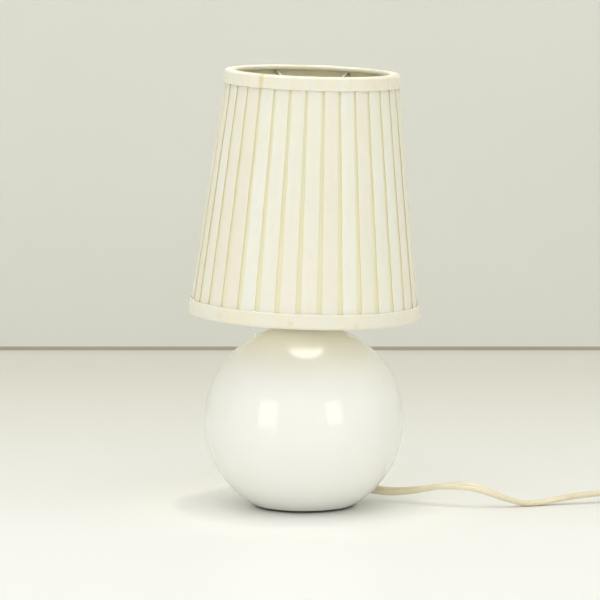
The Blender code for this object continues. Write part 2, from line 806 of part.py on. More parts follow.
def bulb():
    socket = BULB_CAP_RADIUS - BULB_CAP_WALL
    turned(
        "bulb_tip_contact",
        [
            (0, TIP_BOTTOM + TIP_HEIGHT),
            (TIP_RADIUS, TIP_BOTTOM + TIP_HEIGHT),
            (0.7 * TIP_RADIUS, TIP_BOTTOM + 0.3 * TIP_HEIGHT),
            (0, TIP_BOTTOM),
        ],
        "steel",
        BULB_FRAME,
        segments=16,
    )
    turned(
        "bulb_insulator",
        [
            (0, INSULATOR_BOTTOM + INSULATOR_HEIGHT),
            (socket - MM, INSULATOR_BOTTOM + INSULATOR_HEIGHT),
            (TIP_RADIUS + MM, INSULATOR_BOTTOM),
            (0, INSULATOR_BOTTOM),
        ],
        "bakelite",
        BULB_FRAME,
        segments=20,
    )
    outer = bulb_cap_side(BULB_CAP_RADIUS)
    inner = bulb_cap_side(socket)[::-1]
    turned("bulb_screw_cap", [*outer, *inner], "brass", BULB_FRAME, segments=16)
    bulb_glass()
    bulb_inside()


def bulb_glass():
    """The envelope, open at the end of its neck inside the cap."""
    shoulder = math.radians(-55)
    neck_end = BULB_CAP_TOP - 0.3 * BULB_CAP_HEIGHT
    outer, inner = (
        [
            (0, BULB_CENTRE + radius),
            *ellipse_arc(radius, radius, BULB_CENTRE, math.pi / 2, shoulder, 9)[1:],
            (neck + 1.4 * MM, BULB_CAP_TOP + 4 * MM),
            (neck, BULB_CAP_TOP + MM),
            (neck, neck_end),
        ]
        for radius, neck in (
            (BULB_RADIUS, BULB_NECK_RADIUS - BULB_THREAD_DEPTH),
            (BULB_RADIUS - BULB_GLASS, BULB_NECK_RADIUS - BULB_THREAD_DEPTH - BULB_GLASS),
        )
    )
    turned("bulb_glass", [*outer, *inner[::-1]], "glass", BULB_FRAME, segments=20)


def bulb_inside():
    stem_radius = BULB_NECK_RADIUS - BULB_THREAD_DEPTH - BULB_GLASS - GAP
    stem_bottom = BULB_CAP_TOP - 0.25 * BULB_CAP_HEIGHT
    stem_top = BULB_CENTRE - 0.45 * BULB_RADIUS
    turned(
        "bulb_stem",
        [
            (0, stem_top),
            (1.6 * MM, stem_top - 0.8 * MM),
            (1.6 * MM, BULB_CAP_TOP + 6 * MM),
            (stem_radius, stem_bottom),
            (0, stem_bottom),
        ],
        "glass",
        BULB_FRAME,
        segments=14,
    )
    half, waves = FILAMENT_SPAN / 2, 6
    foot = stem_top + GAP + FILAMENT_RADIUS
    left = [(-1.0 * MM, 0, foot), (-2.5 * MM, 0, foot + 3 * MM), (-half, 0, BULB_CENTRE)]
    zigzag = [
        (-half + FILAMENT_SPAN * i / waves, (0.8 if i % 2 else -0.8) * MM, BULB_CENTRE + 2.2 * MM)
        for i in range(waves + 1)
    ]
    right = [(-x, y, z) for x, y, z in reversed(left)]
    wire("bulb_filament", [*left, *zigzag, *right], FILAMENT_RADIUS, "steel", BULB_FRAME)


# --- Clip and shade --------------------------------------------------------------------------------------------


def clip_loop(name, side):
    """A wire loop that hugs the upper half of the bulb, with both of its ends under the clip plate."""
    reach = BULB_RADIUS + GAP + CLIP_WIRE
    middle = Vector((side * math.cos(CLIP_LOOP_ELEVATION), 0, math.sin(CLIP_LOOP_ELEVATION)))
    up = Vector((-side * math.sin(CLIP_LOOP_ELEVATION), 0, math.cos(CLIP_LOOP_ELEVATION)))
    across = Vector((0, 1, 0))
    centre = Vector((0, 0, BULB_CENTRE))
    points = [Vector((side * 4.4 * MM, 1.6 * MM, CLIP_WIRE_HEIGHT))]
    for i in range(1, 24):
        turn = math.radians(12) + math.radians(336) * i / 24
        rim = up * math.cos(turn) + across * math.sin(turn)
        direction = middle * math.cos(CLIP_LOOP_SPREAD) + rim * math.sin(CLIP_LOOP_SPREAD)
        points.append(centre + direction * reach)
    points.append(Vector((side * 4.4 * MM, -1.6 * MM, CLIP_WIRE_HEIGHT)))
    wire(name, points, CLIP_WIRE, "steel", CLIP_FRAME)


def bulb_clip():
    clip_loop("clip_loop_left", -1)
    clip_loop("clip_loop_right", 1)
    bore = RIVET_RADIUS + GAP
    turned(
        "clip_plate",
        ring_profile(bore, CLIP_PLATE_RADIUS, CLIP_PLATE_BOTTOM, CLIP_PLATE_BOTTOM + CLIP_PLATE_THICKNESS),
        "steel",
        CLIP_FRAME,
        segments=24,
    )
    shank_top = HUB_TOP + GAP
    turned(
        "clip_rivet",
        [
            (0, shank_top + RIVET_HEAD_THICKNESS),
            (0.7 * RIVET_HEAD_RADIUS, shank_top + RIVET_HEAD_THICKNESS),
            (RIVET_HEAD_RADIUS, shank_top),
            (RIVET_RADIUS, shank_top),
            (RIVET_RADIUS, RIVET_BOTTOM + RIVET_HEAD_THICKNESS),
            (RIVET_HEAD_RADIUS, RIVET_BOTTOM + RIVET_HEAD_THICKNESS),
            (RIVET_HEAD_RADIUS, RIVET_BOTTOM),
            (0, RIVET_BOTTOM),
        ],
        "steel",
        CLIP_FRAME,
        segments=16,
    )


def shade_radius(height, inset=0.0):
    """The shade's outer radius over its bands at a height, less an inset."""
    share = (height - SHADE_BOTTOM) / SHADE_HEIGHT
    return SHADE_BOTTOM_RADIUS + (SHADE_TOP_RADIUS - SHADE_BOTTOM_RADIUS) * share - inset


def shade_frame_wires():
    for name, height in (("top_ring", TOP_RING_HEIGHT), ("bottom_ring", BOTTOM_RING_HEIGHT)):
        profile = round_profile(shade_radius(height, RING_INSET), RING_WIRE, height)
        turned(name, profile, "steel", SHADE_FRAME, segments=48)
    turned(
        "hub_plate",
        ring_profile(RIVET_RADIUS + GAP, HUB_RADIUS, HUB_BOTTOM, HUB_TOP),
        "steel",
        SHADE_FRAME,
        segments=24,
    )
    inner = HUB_TOP + GAP + ARM_WIRE
    outer = TOP_RING_HEIGHT - RING_WIRE - GAP - ARM_WIRE
    ring = shade_radius(TOP_RING_HEIGHT, RING_INSET)
    start = RIVET_HEAD_RADIUS + GAP + ARM_WIRE / 2
    run = [
        (start, inner),
        (HUB_RADIUS, inner),
        (HUB_RADIUS + 5 * MM, inner + 3 * MM),
        (ring - 7 * MM, outer - 1.5 * MM),
        (ring - 2 * MM, outer),
        (ring + 0.5 * MM, outer),
    ]
    for number, azimuth in enumerate(ARM_AZIMUTHS, 1):
        points = [(r * math.cos(azimuth), r * math.sin(azimuth), h) for r, h in run]
        wire(f"spider_arm_{number}", points, ARM_WIRE, "steel", SHADE_FRAME)


def shade_lining():
    outer = [(shade_radius(h, LINING_INSET), h) for h in (COVER_TOP, COVER_BOTTOM)]
    inner = [(shade_radius(h, LINING_INSET + LINING_THICKNESS), h) for h in (COVER_BOTTOM, COVER_TOP)]
    turned("shade_lining", outer + inner, "lining", SHADE_FRAME, segments=2 * PLEATS)


def pleated_ring(shape, height):
    """The vertices of the cover at one height, as its outer and its inner ring: four points to a pleat."""
    face = shade_radius(height, COVER_INSET)
    half = PLEAT_WIDTH / 2 / face
    side = PLEAT_WALL / face
    outer, inner = [], []
    for pleat in range(PLEATS):
        middle = GROOVE_AZIMUTH + 2 * math.pi * (pleat + 0.5) / PLEATS
        for turn, depth in (
            (-half - side, PLEAT_DEPTH),
            (-half, 0.0),
            (half, 0.0),
            (half + side, PLEAT_DEPTH),
        ):
            direction = Vector((math.cos(middle + turn), math.sin(middle + turn), 0))
            up = Vector((0, 0, height))
            outer.append(shape.verts.new(direction * (face - depth) + up))
            inner.append(shape.verts.new(direction * (face - COVER_THICKNESS) + up))
    return outer, inner


def pleated_cover():
    """Box pleats of one width all the way up, whose gaps narrow towards the top."""
    shape = bmesh.new()
    low_out, low_in = pleated_ring(shape, COVER_BOTTOM)
    top_out, top_in = pleated_ring(shape, COVER_TOP)
    for below, above in ((low_out, top_out), (top_out, top_in), (top_in, low_in), (low_in, low_out)):
        for i in range(len(below)):
            shape.faces.new((below[i - 1], below[i], above[i], above[i - 1]))
    mesh = bpy.data.meshes.new("pleated_cover")
    shape.to_mesh(mesh)
    shape.free()
    add("pleated_cover", mesh, "pleats", SHADE_FRAME)


def band_profile(edge, leg, back):
    """A U round the shade's edge: down or up the outside by leg, and inside by back. Both are signed heights."""
    inner = math.copysign(BAND_THICKNESS, leg)
    return [
        (shade_radius(edge + leg), edge + leg),
        (shade_radius(edge), edge),
        (shade_radius(edge, BAND_INSET), edge),
        (shade_radius(edge + back, BAND_INSET), edge + back),
        (shade_radius(edge + back, BAND_INSET - BAND_THICKNESS), edge + back),
        (shade_radius(edge + inner, BAND_INSET - BAND_THICKNESS), edge + inner),
        (shade_radius(edge + inner, BAND_THICKNESS), edge + inner),
        (shade_radius(edge + leg, BAND_THICKNESS), edge + leg),
    ]


def bands():
    below = band_profile(SHADE_BOTTOM, BAND_HEIGHT, BOTTOM_RETURN)
    above = band_profile(SHADE_TOP, -BAND_HEIGHT, -TOP_RETURN)[::-1]
    turned("bottom_band", below, "pleats", SHADE_FRAME, segments=2 * PLEATS)
    turned("top_band", above, "pleats", SHADE_FRAME, segments=2 * PLEATS)


# --- Inline switch ---------------------------------------------------------------------------------------------


def switch_half(name, bottom, top):
    """One half of the housing: a rounded block with a pocket, a channel for the cord and screw holes."""
    middle = (bottom + top) / 2
    outline = rounded(rectangle(SWITCH_LENGTH, SWITCH_WIDTH), SWITCH_CORNER)
    body = add(
        name,
        plate_mesh(name, [outline], top - bottom),
        "switch",
        SWITCH_FRAME,
        location=(0, 0, middle),
    )
    bevel(body, SWITCH_EDGE)
    boolean(
        body,
        "DIFFERENCE",
        box_mesh(
            f"{name}_channel",
            (2 * SWITCH_LENGTH, CORD_WIDTH + 2 * GAP, CORD_THICKNESS + 2 * GAP),
        ),
        SWITCH_FRAME,
        location=(0, 0, SWITCH_SPLIT + GAP / 2),
    )
    for letter, (x, y) in SCREW_PLACES.items():
        boolean(
            body,
            "DIFFERENCE",
            cylinder_mesh(f"{name}_bore_{letter}", SCREW_RADIUS + GAP, SCREW_LENGTH + GAP, segments=12),
            SWITCH_FRAME,
            location=(x, y, SWITCH_BOTTOM + SWITCH_EDGE),
        )
    return body


def switch_housing():
    pocket, width = SWITCH_POCKET
    base = switch_half("switch_base", SWITCH_BOTTOM, SWITCH_SPLIT)
    base_pocket = SWITCH_SPLIT - SWITCH_BOTTOM - SWITCH_ROOF
    boolean(
        base,
        "DIFFERENCE",
        box_mesh("base_pocket", (pocket, width, 2 * base_pocket)),
        SWITCH_FRAME,
        location=(0, 0, SWITCH_SPLIT),
    )
    for letter, (x, y) in SCREW_PLACES.items():
        boolean(
            base,
            "DIFFERENCE",
            cylinder_mesh(
                f"counterbore_{letter}", SCREW_HEAD_RADIUS + GAP, 2 * SCREW_HEAD_THICKNESS, segments=16
            ),
            SWITCH_FRAME,
            location=(x, y, SWITCH_BOTTOM - SCREW_HEAD_THICKNESS / 2),
        )
    cover_bottom = SWITCH_SPLIT + GAP
    cover = switch_half("switch_cover", cover_bottom, SWITCH_TOP)
    cover_pocket = SWITCH_TOP - cover_bottom - SWITCH_ROOF
    boolean(
        cover,
        "DIFFERENCE",
        box_mesh("cover_pocket", (pocket, width, 2 * cover_pocket)),
        SWITCH_FRAME,
        location=(0, 0, cover_bottom),
    )
    boolean(
        cover,
        "DIFFERENCE",
        box_mesh("cover_window", (ROCKER_LENGTH + 2 * MM, width, SWITCH_HEIGHT)),
        SWITCH_FRAME,
        location=(0, 0, SWITCH_TOP),
    )
    reach = width + 2 * (ROCKER_PIN_LENGTH + GAP)
    boolean(
        cover,
        "DIFFERENCE",
        cylinder_mesh("pivot_bore", ROCKER_PIN_RADIUS + GAP, reach, segments=16),
        SWITCH_FRAME,
        location=(0, reach / 2, SWITCH_TOP - ROCKER_PIVOT_DROP),
        rotation=(math.pi / 2, 0, 0),
    )


def switch_screws_and_contacts():
    head = SWITCH_BOTTOM + SCREW_HEAD_THICKNESS / 2 - GAP
    for letter, (x, y) in SCREW_PLACES.items():
        turned(
            f"switch_screw_{letter}",
            [
                (0, head + SCREW_LENGTH - 2 * GAP),
                (SCREW_RADIUS, head + SCREW_LENGTH - 2 * GAP - SCREW_RADIUS / 2),
                (SCREW_RADIUS, head + SCREW_HEAD_THICKNESS / 2),
                (SCREW_HEAD_RADIUS, head + SCREW_HEAD_THICKNESS / 2),
                (SCREW_HEAD_RADIUS, head - GAP),
                (0, head - GAP),
            ],
            "steel",
            SWITCH_FRAME,
            segments=12,
            location=(x, y, 0),
        )
    floor = SWITCH_BOTTOM + SWITCH_ROOF + GAP + CONTACT_THICKNESS / 2
    for letter, side in (("a", 1), ("b", -1)):
        add(
            f"switch_contact_{letter}",
            box_mesh(f"switch_contact_{letter}", (CONTACT_LENGTH, CONTACT_WIDTH, CONTACT_THICKNESS)),
            "brass",
            SWITCH_FRAME,
            location=(side * (CONTACT_LENGTH / 2 + MM), 0, floor),
        )


def switch_rocker():
    """The rocker, with its origin on its pivot. It rests with its left end down."""
    half = ROCKER_LENGTH / 2
    top = ROCKER_PIVOT_DROP + ROCKER_PROUD
    width = SWITCH_POCKET[1] - 2 * ROCKER_SIDE_GAP
    ridge = top - half * math.tan(ROCKER_TILT)
    outline = [
        (-half, top),
        (0, ridge),
        (half, top),
        (half, 0),
        (half / 2, -ROCKER_PIN_RADIUS - MM),
        (-half / 2, -ROCKER_PIN_RADIUS - MM),
        (-half, 0),
    ]
    body = add(
        "switch_rocker",
        plate_mesh("switch_rocker", [outline], width),
        "switch",
        ROCKER_FRAME,
        rotation=(math.pi / 2, 0, 0),
    )
    reach = width + 2 * (ROCKER_SIDE_GAP + ROCKER_PIN_LENGTH)
    boolean(
        body,
        "UNION",
        cylinder_mesh("pivot_pin", ROCKER_PIN_RADIUS, reach, segments=16),
        ROCKER_FRAME,
        location=(0, reach / 2, 0),
        rotation=(math.pi / 2, 0, 0),
    )


# --- Cord, coil and plug ---------------------------------------------------------------------------------------


def cords():
    spacing = 2.6 * CORD_THICKNESS
    for name, route in (
        ("cord_to_switch", ROUTE_TO_SWITCH),
        ("cord_to_coil", ROUTE_TO_COIL),
        ("cord_to_plug", ROUTE_TO_PLUG),
    ):
        points = [Vector(p) * MM for p in route]
        wire(name, smooth_route(points, spacing), CORD_RADIUS, "cord", resolution=2)


def coil_bundle():
    """Inner radius, outer radius, bottom and top of the coil."""
    inner_turn = COIL_TURN_RADIUS - COIL_TURNS_PER_LAYER * COIL_PITCH
    return (
        inner_turn - CORD_RADIUS - GAP / 2,
        COIL_TURN_RADIUS + CORD_RADIUS + GAP / 2,
        COIL_BOTTOM,
        COIL_BOTTOM + 2 * COIL_LAYER_HEIGHT,
    )


def coil_and_tie():
    inner, outer, bottom, top = coil_bundle()
    edge = CORD_THICKNESS / 2
    profile = [
        (outer - edge, top),
        (outer, top - edge),
        (outer, bottom + edge),
        (outer - edge, bottom),
        (inner + edge, bottom),
        (inner, bottom + edge),
        (inner, top - edge),
        (inner + edge, top),
    ]
    turned("cord_coil", profile, "cord", COIL_FRAME, segments=32)
    loops = [
        rounded(rectangle(outer - inner + 2 * gap, top - bottom + 2 * gap), corner)
        for gap, corner in ((GAP + TIE_THICKNESS, TIE_CORNER), (GAP, TIE_CORNER - TIE_THICKNESS))
    ]
    add(
        "cord_tie",
        plate_mesh("cord_tie", loops, TIE_WIDTH),
        "paper",
        COIL_FRAME,
        location=((inner + outer) / 2, 0, (bottom + top) / 2),
        rotation=(math.pi / 2, 0, 0),
    )


def plug():
    """The plug lies flat: its frame's +X runs from the cord's end of the strain relief to the pins."""
    rear = RELIEF_LENGTH
    front = rear + PLUG_BODY_LENGTH
    half, tail = PLUG_WIDTH / 2, PLUG_TAIL_WIDTH / 2
    shoulder = rear + 0.45 * PLUG_BODY_LENGTH
    corners = [(rear, -tail), (shoulder, -half), (front, -half), (front, half), (shoulder, half), (rear, tail)]
    body = add(
        "plug_body", plate_mesh("plug_body", [rounded(corners, 3 * MM)], PLUG_THICKNESS), "switch", PLUG_FRAME
    )
    bevel(body, PLUG_EDGE, segments=2)
    boolean(
        body,
        "UNION",
        cylinder_mesh("strain_relief", RELIEF_RADII[0], RELIEF_LENGTH + 6 * MM, 20, RELIEF_RADII[1]),
        PLUG_FRAME,
        rotation=(0, math.pi / 2, 0),
    )
    for side, name in ((1, "left"), (-1, "right")):
        place = (front - PIN_INSERT, side * PIN_SPACING / 2, 0)
        boolean(
            body,
            "DIFFERENCE",
            cylinder_mesh(f"pin_bore_{name}", PIN_RADIUS + GAP, 2 * PIN_INSERT, segments=16),
            PLUG_FRAME,
            location=place,
            rotation=(0, math.pi / 2, 0),
        )
        end = PIN_INSERT + PIN_LENGTH
        turned(
            f"plug_pin_{name}",
            [
                (0, end),
                (0.6 * PIN_RADIUS, end - 0.3 * MM),
                (PIN_RADIUS, end - 1.5 * MM),
                (PIN_RADIUS, GAP),
                (0, GAP),
            ],
            "brass",
            PLUG_FRAME,
            segments=16,
            location=place,
            rotation=(0, math.pi / 2, 0),
        )


clear_scene()
LAMP = collection("table_lamp")
GUIDES = collection("cutters")
UPPER_FRAME = empty("upper_frame", location=UPPER.to_translation(), rotation=UPPER.to_euler())
BULB_FRAME = empty("bulb_frame", UPPER_FRAME)
CLIP_FRAME = empty("clip_frame", BULB_FRAME)
SHADE_FRAME = empty("shade_frame", CLIP_FRAME)
SWITCH_FRAME = empty("switch_frame", location=(SWITCH_X, SWITCH_Y, 0))
ROCKER_FRAME = empty(
    "rocker_frame",
    SWITCH_FRAME,
    location=(0, 0, SWITCH_TOP - ROCKER_PIVOT_DROP),
    rotation=(0, -ROCKER_TILT, 0),
)
COIL_FRAME = empty("coil_frame", location=(COIL_X, SWITCH_Y + COIL_TURN_RADIUS, 0))
PLUG_FRAME = empty(
    "plug_frame",
    location=(PLUG_X, SWITCH_Y + 2 * COIL_TURN_RADIUS, GAP + PLUG_THICKNESS / 2),
    rotation=(0, 0, math.pi),
)

ceramic_base()
felt_pad()
cord_bush()
neck_fittings()
holder_base_cap()
holder_insert()
holder_outer_shell()
lead_and_cores()
bulb()
bulb_clip()
shade_frame_wires()
shade_lining()
pleated_cover()
bands()
switch_housing()
switch_screws_and_contacts()
switch_rocker()
cords()
coil_and_tie()
plug()
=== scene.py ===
"""The looks of a small table lamp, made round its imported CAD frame: a glazed ball, a box-pleated shade that clips
onto the bulb, and a flat cord with an inline switch and a plug.

Blender 4.5, metres, +Z up. The front faces -Y. Everything above the ball is made upright in the leaned frame, whose
origin is the middle of the neck seat and whose +Z is the axis that the bulb and the shade slide along.
"""

import json
import random
from collections import namedtuple
from math import acos, asin, atan2, copysign, cos, degrees, exp, hypot, pi, radians, sin, sqrt, tan

import bmesh
import bpy
import numpy as np
from mathutils import Matrix, Vector, noise


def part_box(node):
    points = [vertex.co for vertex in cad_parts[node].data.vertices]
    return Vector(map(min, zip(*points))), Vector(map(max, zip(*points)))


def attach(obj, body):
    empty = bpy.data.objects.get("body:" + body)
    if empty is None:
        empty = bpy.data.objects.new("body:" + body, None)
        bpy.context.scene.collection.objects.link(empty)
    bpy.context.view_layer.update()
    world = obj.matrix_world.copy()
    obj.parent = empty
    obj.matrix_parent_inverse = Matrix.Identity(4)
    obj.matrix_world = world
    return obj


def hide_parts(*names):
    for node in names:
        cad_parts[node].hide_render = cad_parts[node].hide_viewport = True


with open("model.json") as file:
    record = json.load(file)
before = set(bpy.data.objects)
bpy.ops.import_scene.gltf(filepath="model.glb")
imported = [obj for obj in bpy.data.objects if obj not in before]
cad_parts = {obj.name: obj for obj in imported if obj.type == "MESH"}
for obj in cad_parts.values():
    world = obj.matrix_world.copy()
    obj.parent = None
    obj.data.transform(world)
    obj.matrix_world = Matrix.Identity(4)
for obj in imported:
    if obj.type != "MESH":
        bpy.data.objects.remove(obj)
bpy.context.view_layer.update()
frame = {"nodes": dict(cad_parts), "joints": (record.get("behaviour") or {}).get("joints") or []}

MM = 0.001
ROUND = 2 * pi
GAP = 0.3 * MM  # the room that the CAD model leaves between pieces that touch
TINY = 0.05 * MM  # the radius at which a spun shape is closed with a flat cap


def mm(*points):
    """Points given in millimetres."""
    return [tuple(MM * value for value in point) for point in points]


# Cord: a flat twin cord, wide by thick
CORD_WIDTH = 5.6 * MM
CORD_THICKNESS = 3.4 * MM
CORD_IN_PLUG = 2.0 * MM
CORD_STEP = 2.4 * MM
COIL_PITCH = 3.5 * MM
COIL_TURNS_PER_LAYER = 3.75
COIL_LAYER_HEIGHT = 5.8 * MM
COIL_CLIMB = 0.7  # turns that the cord takes from the bottom layer to the top one
COIL_STEPS = 48  # rings to a turn

# Points along the middle of the cord
ROUTE_TO_SWITCH = mm(
    *((36.3, 13.6, 8.2), (45.0, 13.2, 7.6), (54.0, 11.0, 6.9), (63.5, 7.7, 7.6), (73.0, 3.6, 9.2)),
    *((82.5, -1.2, 11.5), (92.0, -5.4, 13.2), (101.5, -7.9, 13.5), (111.0, -9.2, 12.0), (119.5, -9.8, 9.1)),
    *((129.0, -9.2, 5.4), (139.0, -6.4, 2.4), (148.0, -3.6, 1.9), (160.0, -0.4, 3.2), (171.0, 2.6, 4.8)),
    *((181.0, 5.2, 5.6), (191.0, 7.8, 6.4), (201.0, 9.7, 7.9), (210.5, 10.5, 9.1), (219.0, 10.5, 9.3)),
)
ROUTE_TO_COIL = mm((269.0, 10.5, 9.3), (277.0, 10.5, 9.1), (285.0, 10.5, 7.6), (292.5, 10.5, 5.7), (300.0, 10.5, 4.7))
ROUTE_TO_PLUG = mm((300.0, 86.7, 8.9), (295.0, 86.7, 7.9), (290.3, 86.7, 7.3))
# How far the cord is turned onto its edge, in degrees, at distances in millimetres from the ball
TWISTS = [(0, 90), (14, 78), (38, 35), (62, 6), (78, 62), (92, 30), (106, 0), (245, 0), (300, 90)]

# Shade cloth
PLEATS = 34
GROOVE_AZIMUTH = radians(-93.5)
GAP_AT_TOP = 1.5 * MM  # between two pleats
GAP_AT_BOTTOM = 3.1 * MM
PLEAT_CLOTH = 24.0 * MM  # flat cloth that goes into one pleat
PLEAT_DEPTH = 0.8 * MM
CREASED_PLEAT = 4
COVER_ROWS = 56
BAND_CLOTH = 0.5 * MM
BAND_REACH = 6.6 * MM  # from the outside of a band to the outside of its turned-in part
JOIN_AZIMUTH = radians(-124.8)  # of the upper band's ends
# The upper band is gathered here: the middle's azimuth, the reach to each side and the number of folds
GATHERS = (radians(-24), radians(17), 7)

RINGS_PER_PITCH = 8  # of a screw thread

Span = namedtuple("Span", "low high inner outer")


# --- Places, read from the frame ----------


def corners(node):
    """The points of a CAD node."""
    return np.array([vertex.co for vertex in frame["nodes"][node].data.vertices])


def moved(points, matrix):
    m = np.array(matrix)
    return np.asarray(points, float) @ m[:3, :3].T + m[:3, 3]


def span(node):
    """The lowest and highest height and the inner and outer radius of a node in the leaned frame."""
    points = moved(corners(node), TO_UPPER)
    radii = np.hypot(points[:, 0], points[:, 1])
    return Span(points[:, 2].min(), points[:, 2].max(), radii.min(), radii.max())


def ball_ellipse():
    """Radius, half height and centre height of the CAD ball's outside, from the corners of its convex hull."""
    shape = bmesh.new()
    shape.from_mesh(frame["nodes"]["ceramic_base"].data)
    found = bmesh.ops.convex_hull(shape, input=shape.verts)["geom"]
    points = np.array([v.co for v in found if isinstance(v, bmesh.types.BMVert)])
    shape.free()
    radii, heights = np.hypot(points[:, 0], points[:, 1]), points[:, 2]
    side = radii > 1.2 * NECK.outer
    terms = np.stack([np.ones(side.sum()), heights[side], heights[side] ** 2], axis=1)
    a, b, c = np.linalg.lstsq(terms, radii[side] ** 2, rcond=None)[0]
    radius = sqrt(a - b * b / (4 * c))
    return radius, radius / sqrt(-c), -b / (2 * c)


JOINTS = {joint["name"]: joint for joint in frame["joints"]}
AXIS = Vector(JOINTS["shade_turn"]["axis"]).normalized()
HUB = Vector(JOINTS["shade_turn"]["pos_m"])
SEAT = HUB - AXIS * (HUB.x / AXIS.x)
UPPER = Matrix.Translation(SEAT) @ Matrix.Rotation(atan2(AXIS.x, AXIS.z), 4, "Y")
TO_UPPER = UPPER.inverted()

NECK = span("neck_gasket")
BALL_RADIUS, BALL_HALF_HEIGHT, BALL_CENTRE_Z = ball_ellipse()
FOOT_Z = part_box("ceramic_base")[0].z
SHADE_LOW = span("bottom_band")
SHADE_HIGH = span("top_band")
COVER = span("pleated_cover")
LINING = span("shade_lining")
BULB = span("bulb_glass")
BULB_RADIUS = BULB.outer
BULB_CENTRE = BULB.high - BULB_RADIUS


def shade_radius(height, inset=0.0):
    """The shade's outer radius over its bands at a height, less an inset."""
    share = (height - SHADE_LOW.low) / (SHADE_HIGH.low - SHADE_LOW.low)
    return SHADE_LOW.outer + (SHADE_HIGH.outer - SHADE_LOW.outer) * share - inset


# --- Shapes ----------


def polar(radius, azimuth, height=0.0, centre=(0, 0, 0)):
    return (centre[0] + radius * cos(azimuth), centre[1] + radius * sin(azimuth), centre[2] + height)


def beside(x, y, *offsets):
    """Flat points at offsets in millimetres from a place."""
    return [(x + a * MM, y + b * MM) for a, b in offsets]


def around(steps):
    """The angles of evenly spaced steps round a circle."""
    return np.arange(steps) * ROUND / steps


def eased(share):
    """A share from 0 to 1 with a soft start and end."""
    share = min(1.0, max(0.0, share))
    return share * share * (3 - 2 * share)


def ripple(x, y, z, size=1.0):
    """A smooth random value from -1 to 1, at a place, that changes over the given size."""
    return noise.noise(Vector((x, y, z)) / size)


def lengths(points, closed=False):
    """How far along a line each of its points is, with the way back to the first added when it is closed."""
    line = np.concatenate([points, points[:1]]) if closed else np.asarray(points)
    return np.concatenate([[0.0], np.cumsum(np.linalg.norm(np.diff(line, axis=0), axis=1))])


def grid_mesh(name, points, wrap=True, loop=False, caps=False):
    """A mesh through points[row][column]. It wraps round from the last column to the first, loops from the last
    row to the first, or has its end rows capped. Its UVs are metres along the columns and the rows."""
    points = np.asarray(points, float)
    rows, columns = points.shape[:2]
    index = np.arange(rows * columns).reshape(rows, columns)
    across, along = lengths(points[rows // 2], wrap), lengths(points[:, 0], loop)
    if wrap:
        index = np.concatenate([index, index[:, :1]], axis=1)
    if loop:
        index = np.concatenate([index, index[:1]])
    faces = np.stack([index[:-1, :-1], index[:-1, 1:], index[1:, 1:], index[1:, :-1]], axis=-1)
    faces = faces.reshape(-1, 4).tolist()
    if caps:
        faces += [index[0, :columns][::-1].tolist(), index[-1, :columns].tolist()]
    mesh = bpy.data.meshes.new(name)
    mesh.from_pydata(points.reshape(-1, 3).tolist(), [], faces)
    place = np.stack(np.meshgrid(across, along), axis=-1)
    cells = np.stack([place[:-1, :-1], place[:-1, 1:], place[1:, 1:], place[1:, :-1]], axis=2)
    values = np.zeros((len(mesh.loops), 2), np.float32)
    values[: cells.size // 2] = cells.reshape(-1, 2)
    mesh.uv_layers.new(name="metres").data.foreach_set("uv", values.ravel())
    return mesh


def spun(profile, segments=64):
    """Rings of (radius, height) points round the Z axis."""
    turn, profile = around(segments), np.asarray(profile, float)
    rings = np.empty((len(profile), segments, 3))
    rings[..., 0] = profile[:, :1] * np.cos(turn)
    rings[..., 1] = profile[:, :1] * np.sin(turn)
    rings[..., 2] = profile[:, 1:]
    return rings


def arc(centre, radius, start, end, steps, squash=1.0):
    """Points on an arc, in degrees, whose height is squashed."""
    turns = np.radians(np.linspace(start, end, steps + 1))
    return [(centre[0] + radius * cos(t), centre[1] + squash * radius * sin(t)) for t in turns]


def rounded_line(points, radius, steps, closed=False):
    """A flat line through points, with its corners rounded."""
    points = [Vector(p) for p in points]
    made = [] if closed else [points[0]]
    middle = range(len(points)) if closed else range(1, len(points) - 1)
    for i in middle:
        here, back, ahead = points[i], points[i - 1], points[(i + 1) % len(points)]
        to_back, to_ahead = (back - here).normalized(), (ahead - here).normalized()
        half = to_back.angle(to_ahead) / 2
        cut_off = min(radius / tan(half), 0.49 * (back - here).length, 0.49 * (ahead - here).length)
        centre = here + (to_back + to_ahead).normalized() * (cut_off / cos(half))
        first, last = here + to_back * cut_off - centre, here + to_ahead * cut_off - centre
        for step in range(steps + 1):
            arm = first * (1 - step / steps) + last * (step / steps)
            made.append(centre + arm.normalized() * first.length)
    if not closed:
        made.append(points[-1])
    return [tuple(p) for p in made]


def rounded_box(left, bottom, right, top, radius, steps):
    """The closed outline of a rectangle with rounded corners."""
    return rounded_line([(left, bottom), (right, bottom), (right, top), (left, top)], radius, steps, closed=True)


def divided(line, longest):
    """The same flat line with points added, so that they are about that far apart."""
    made = []
    for (x, y), (next_x, next_y) in zip(line, line[1:]):
        parts = max(1, round(hypot(next_x - x, next_y - y) / longest))
        made += [(x + (next_x - x) * i / parts, y + (next_y - y) * i / parts) for i in range(parts)]
    return [*made, line[-1]]


def thickened(line, thickness):
    """The closed outline of a strip of cloth or sheet metal whose middle follows a flat line."""
    line = np.asarray(line)
    way = np.gradient(line, axis=0)
    way /= np.linalg.norm(way, axis=1)[:, None]
    side = np.stack([way[:, 1], -way[:, 0]], axis=1) * thickness / 2
    ends = way[[0, -1]] * thickness / 4
    outline = np.array([*(line + side), line[-1] + ends[1], *(line - side)[::-1], line[0] - ends[0]])
    following = np.roll(outline, -1, axis=0)
    area = (outline[:, 0] * following[:, 1] - following[:, 0] * outline[:, 1]).sum()
    return outline if area > 0 else outline[::-1]


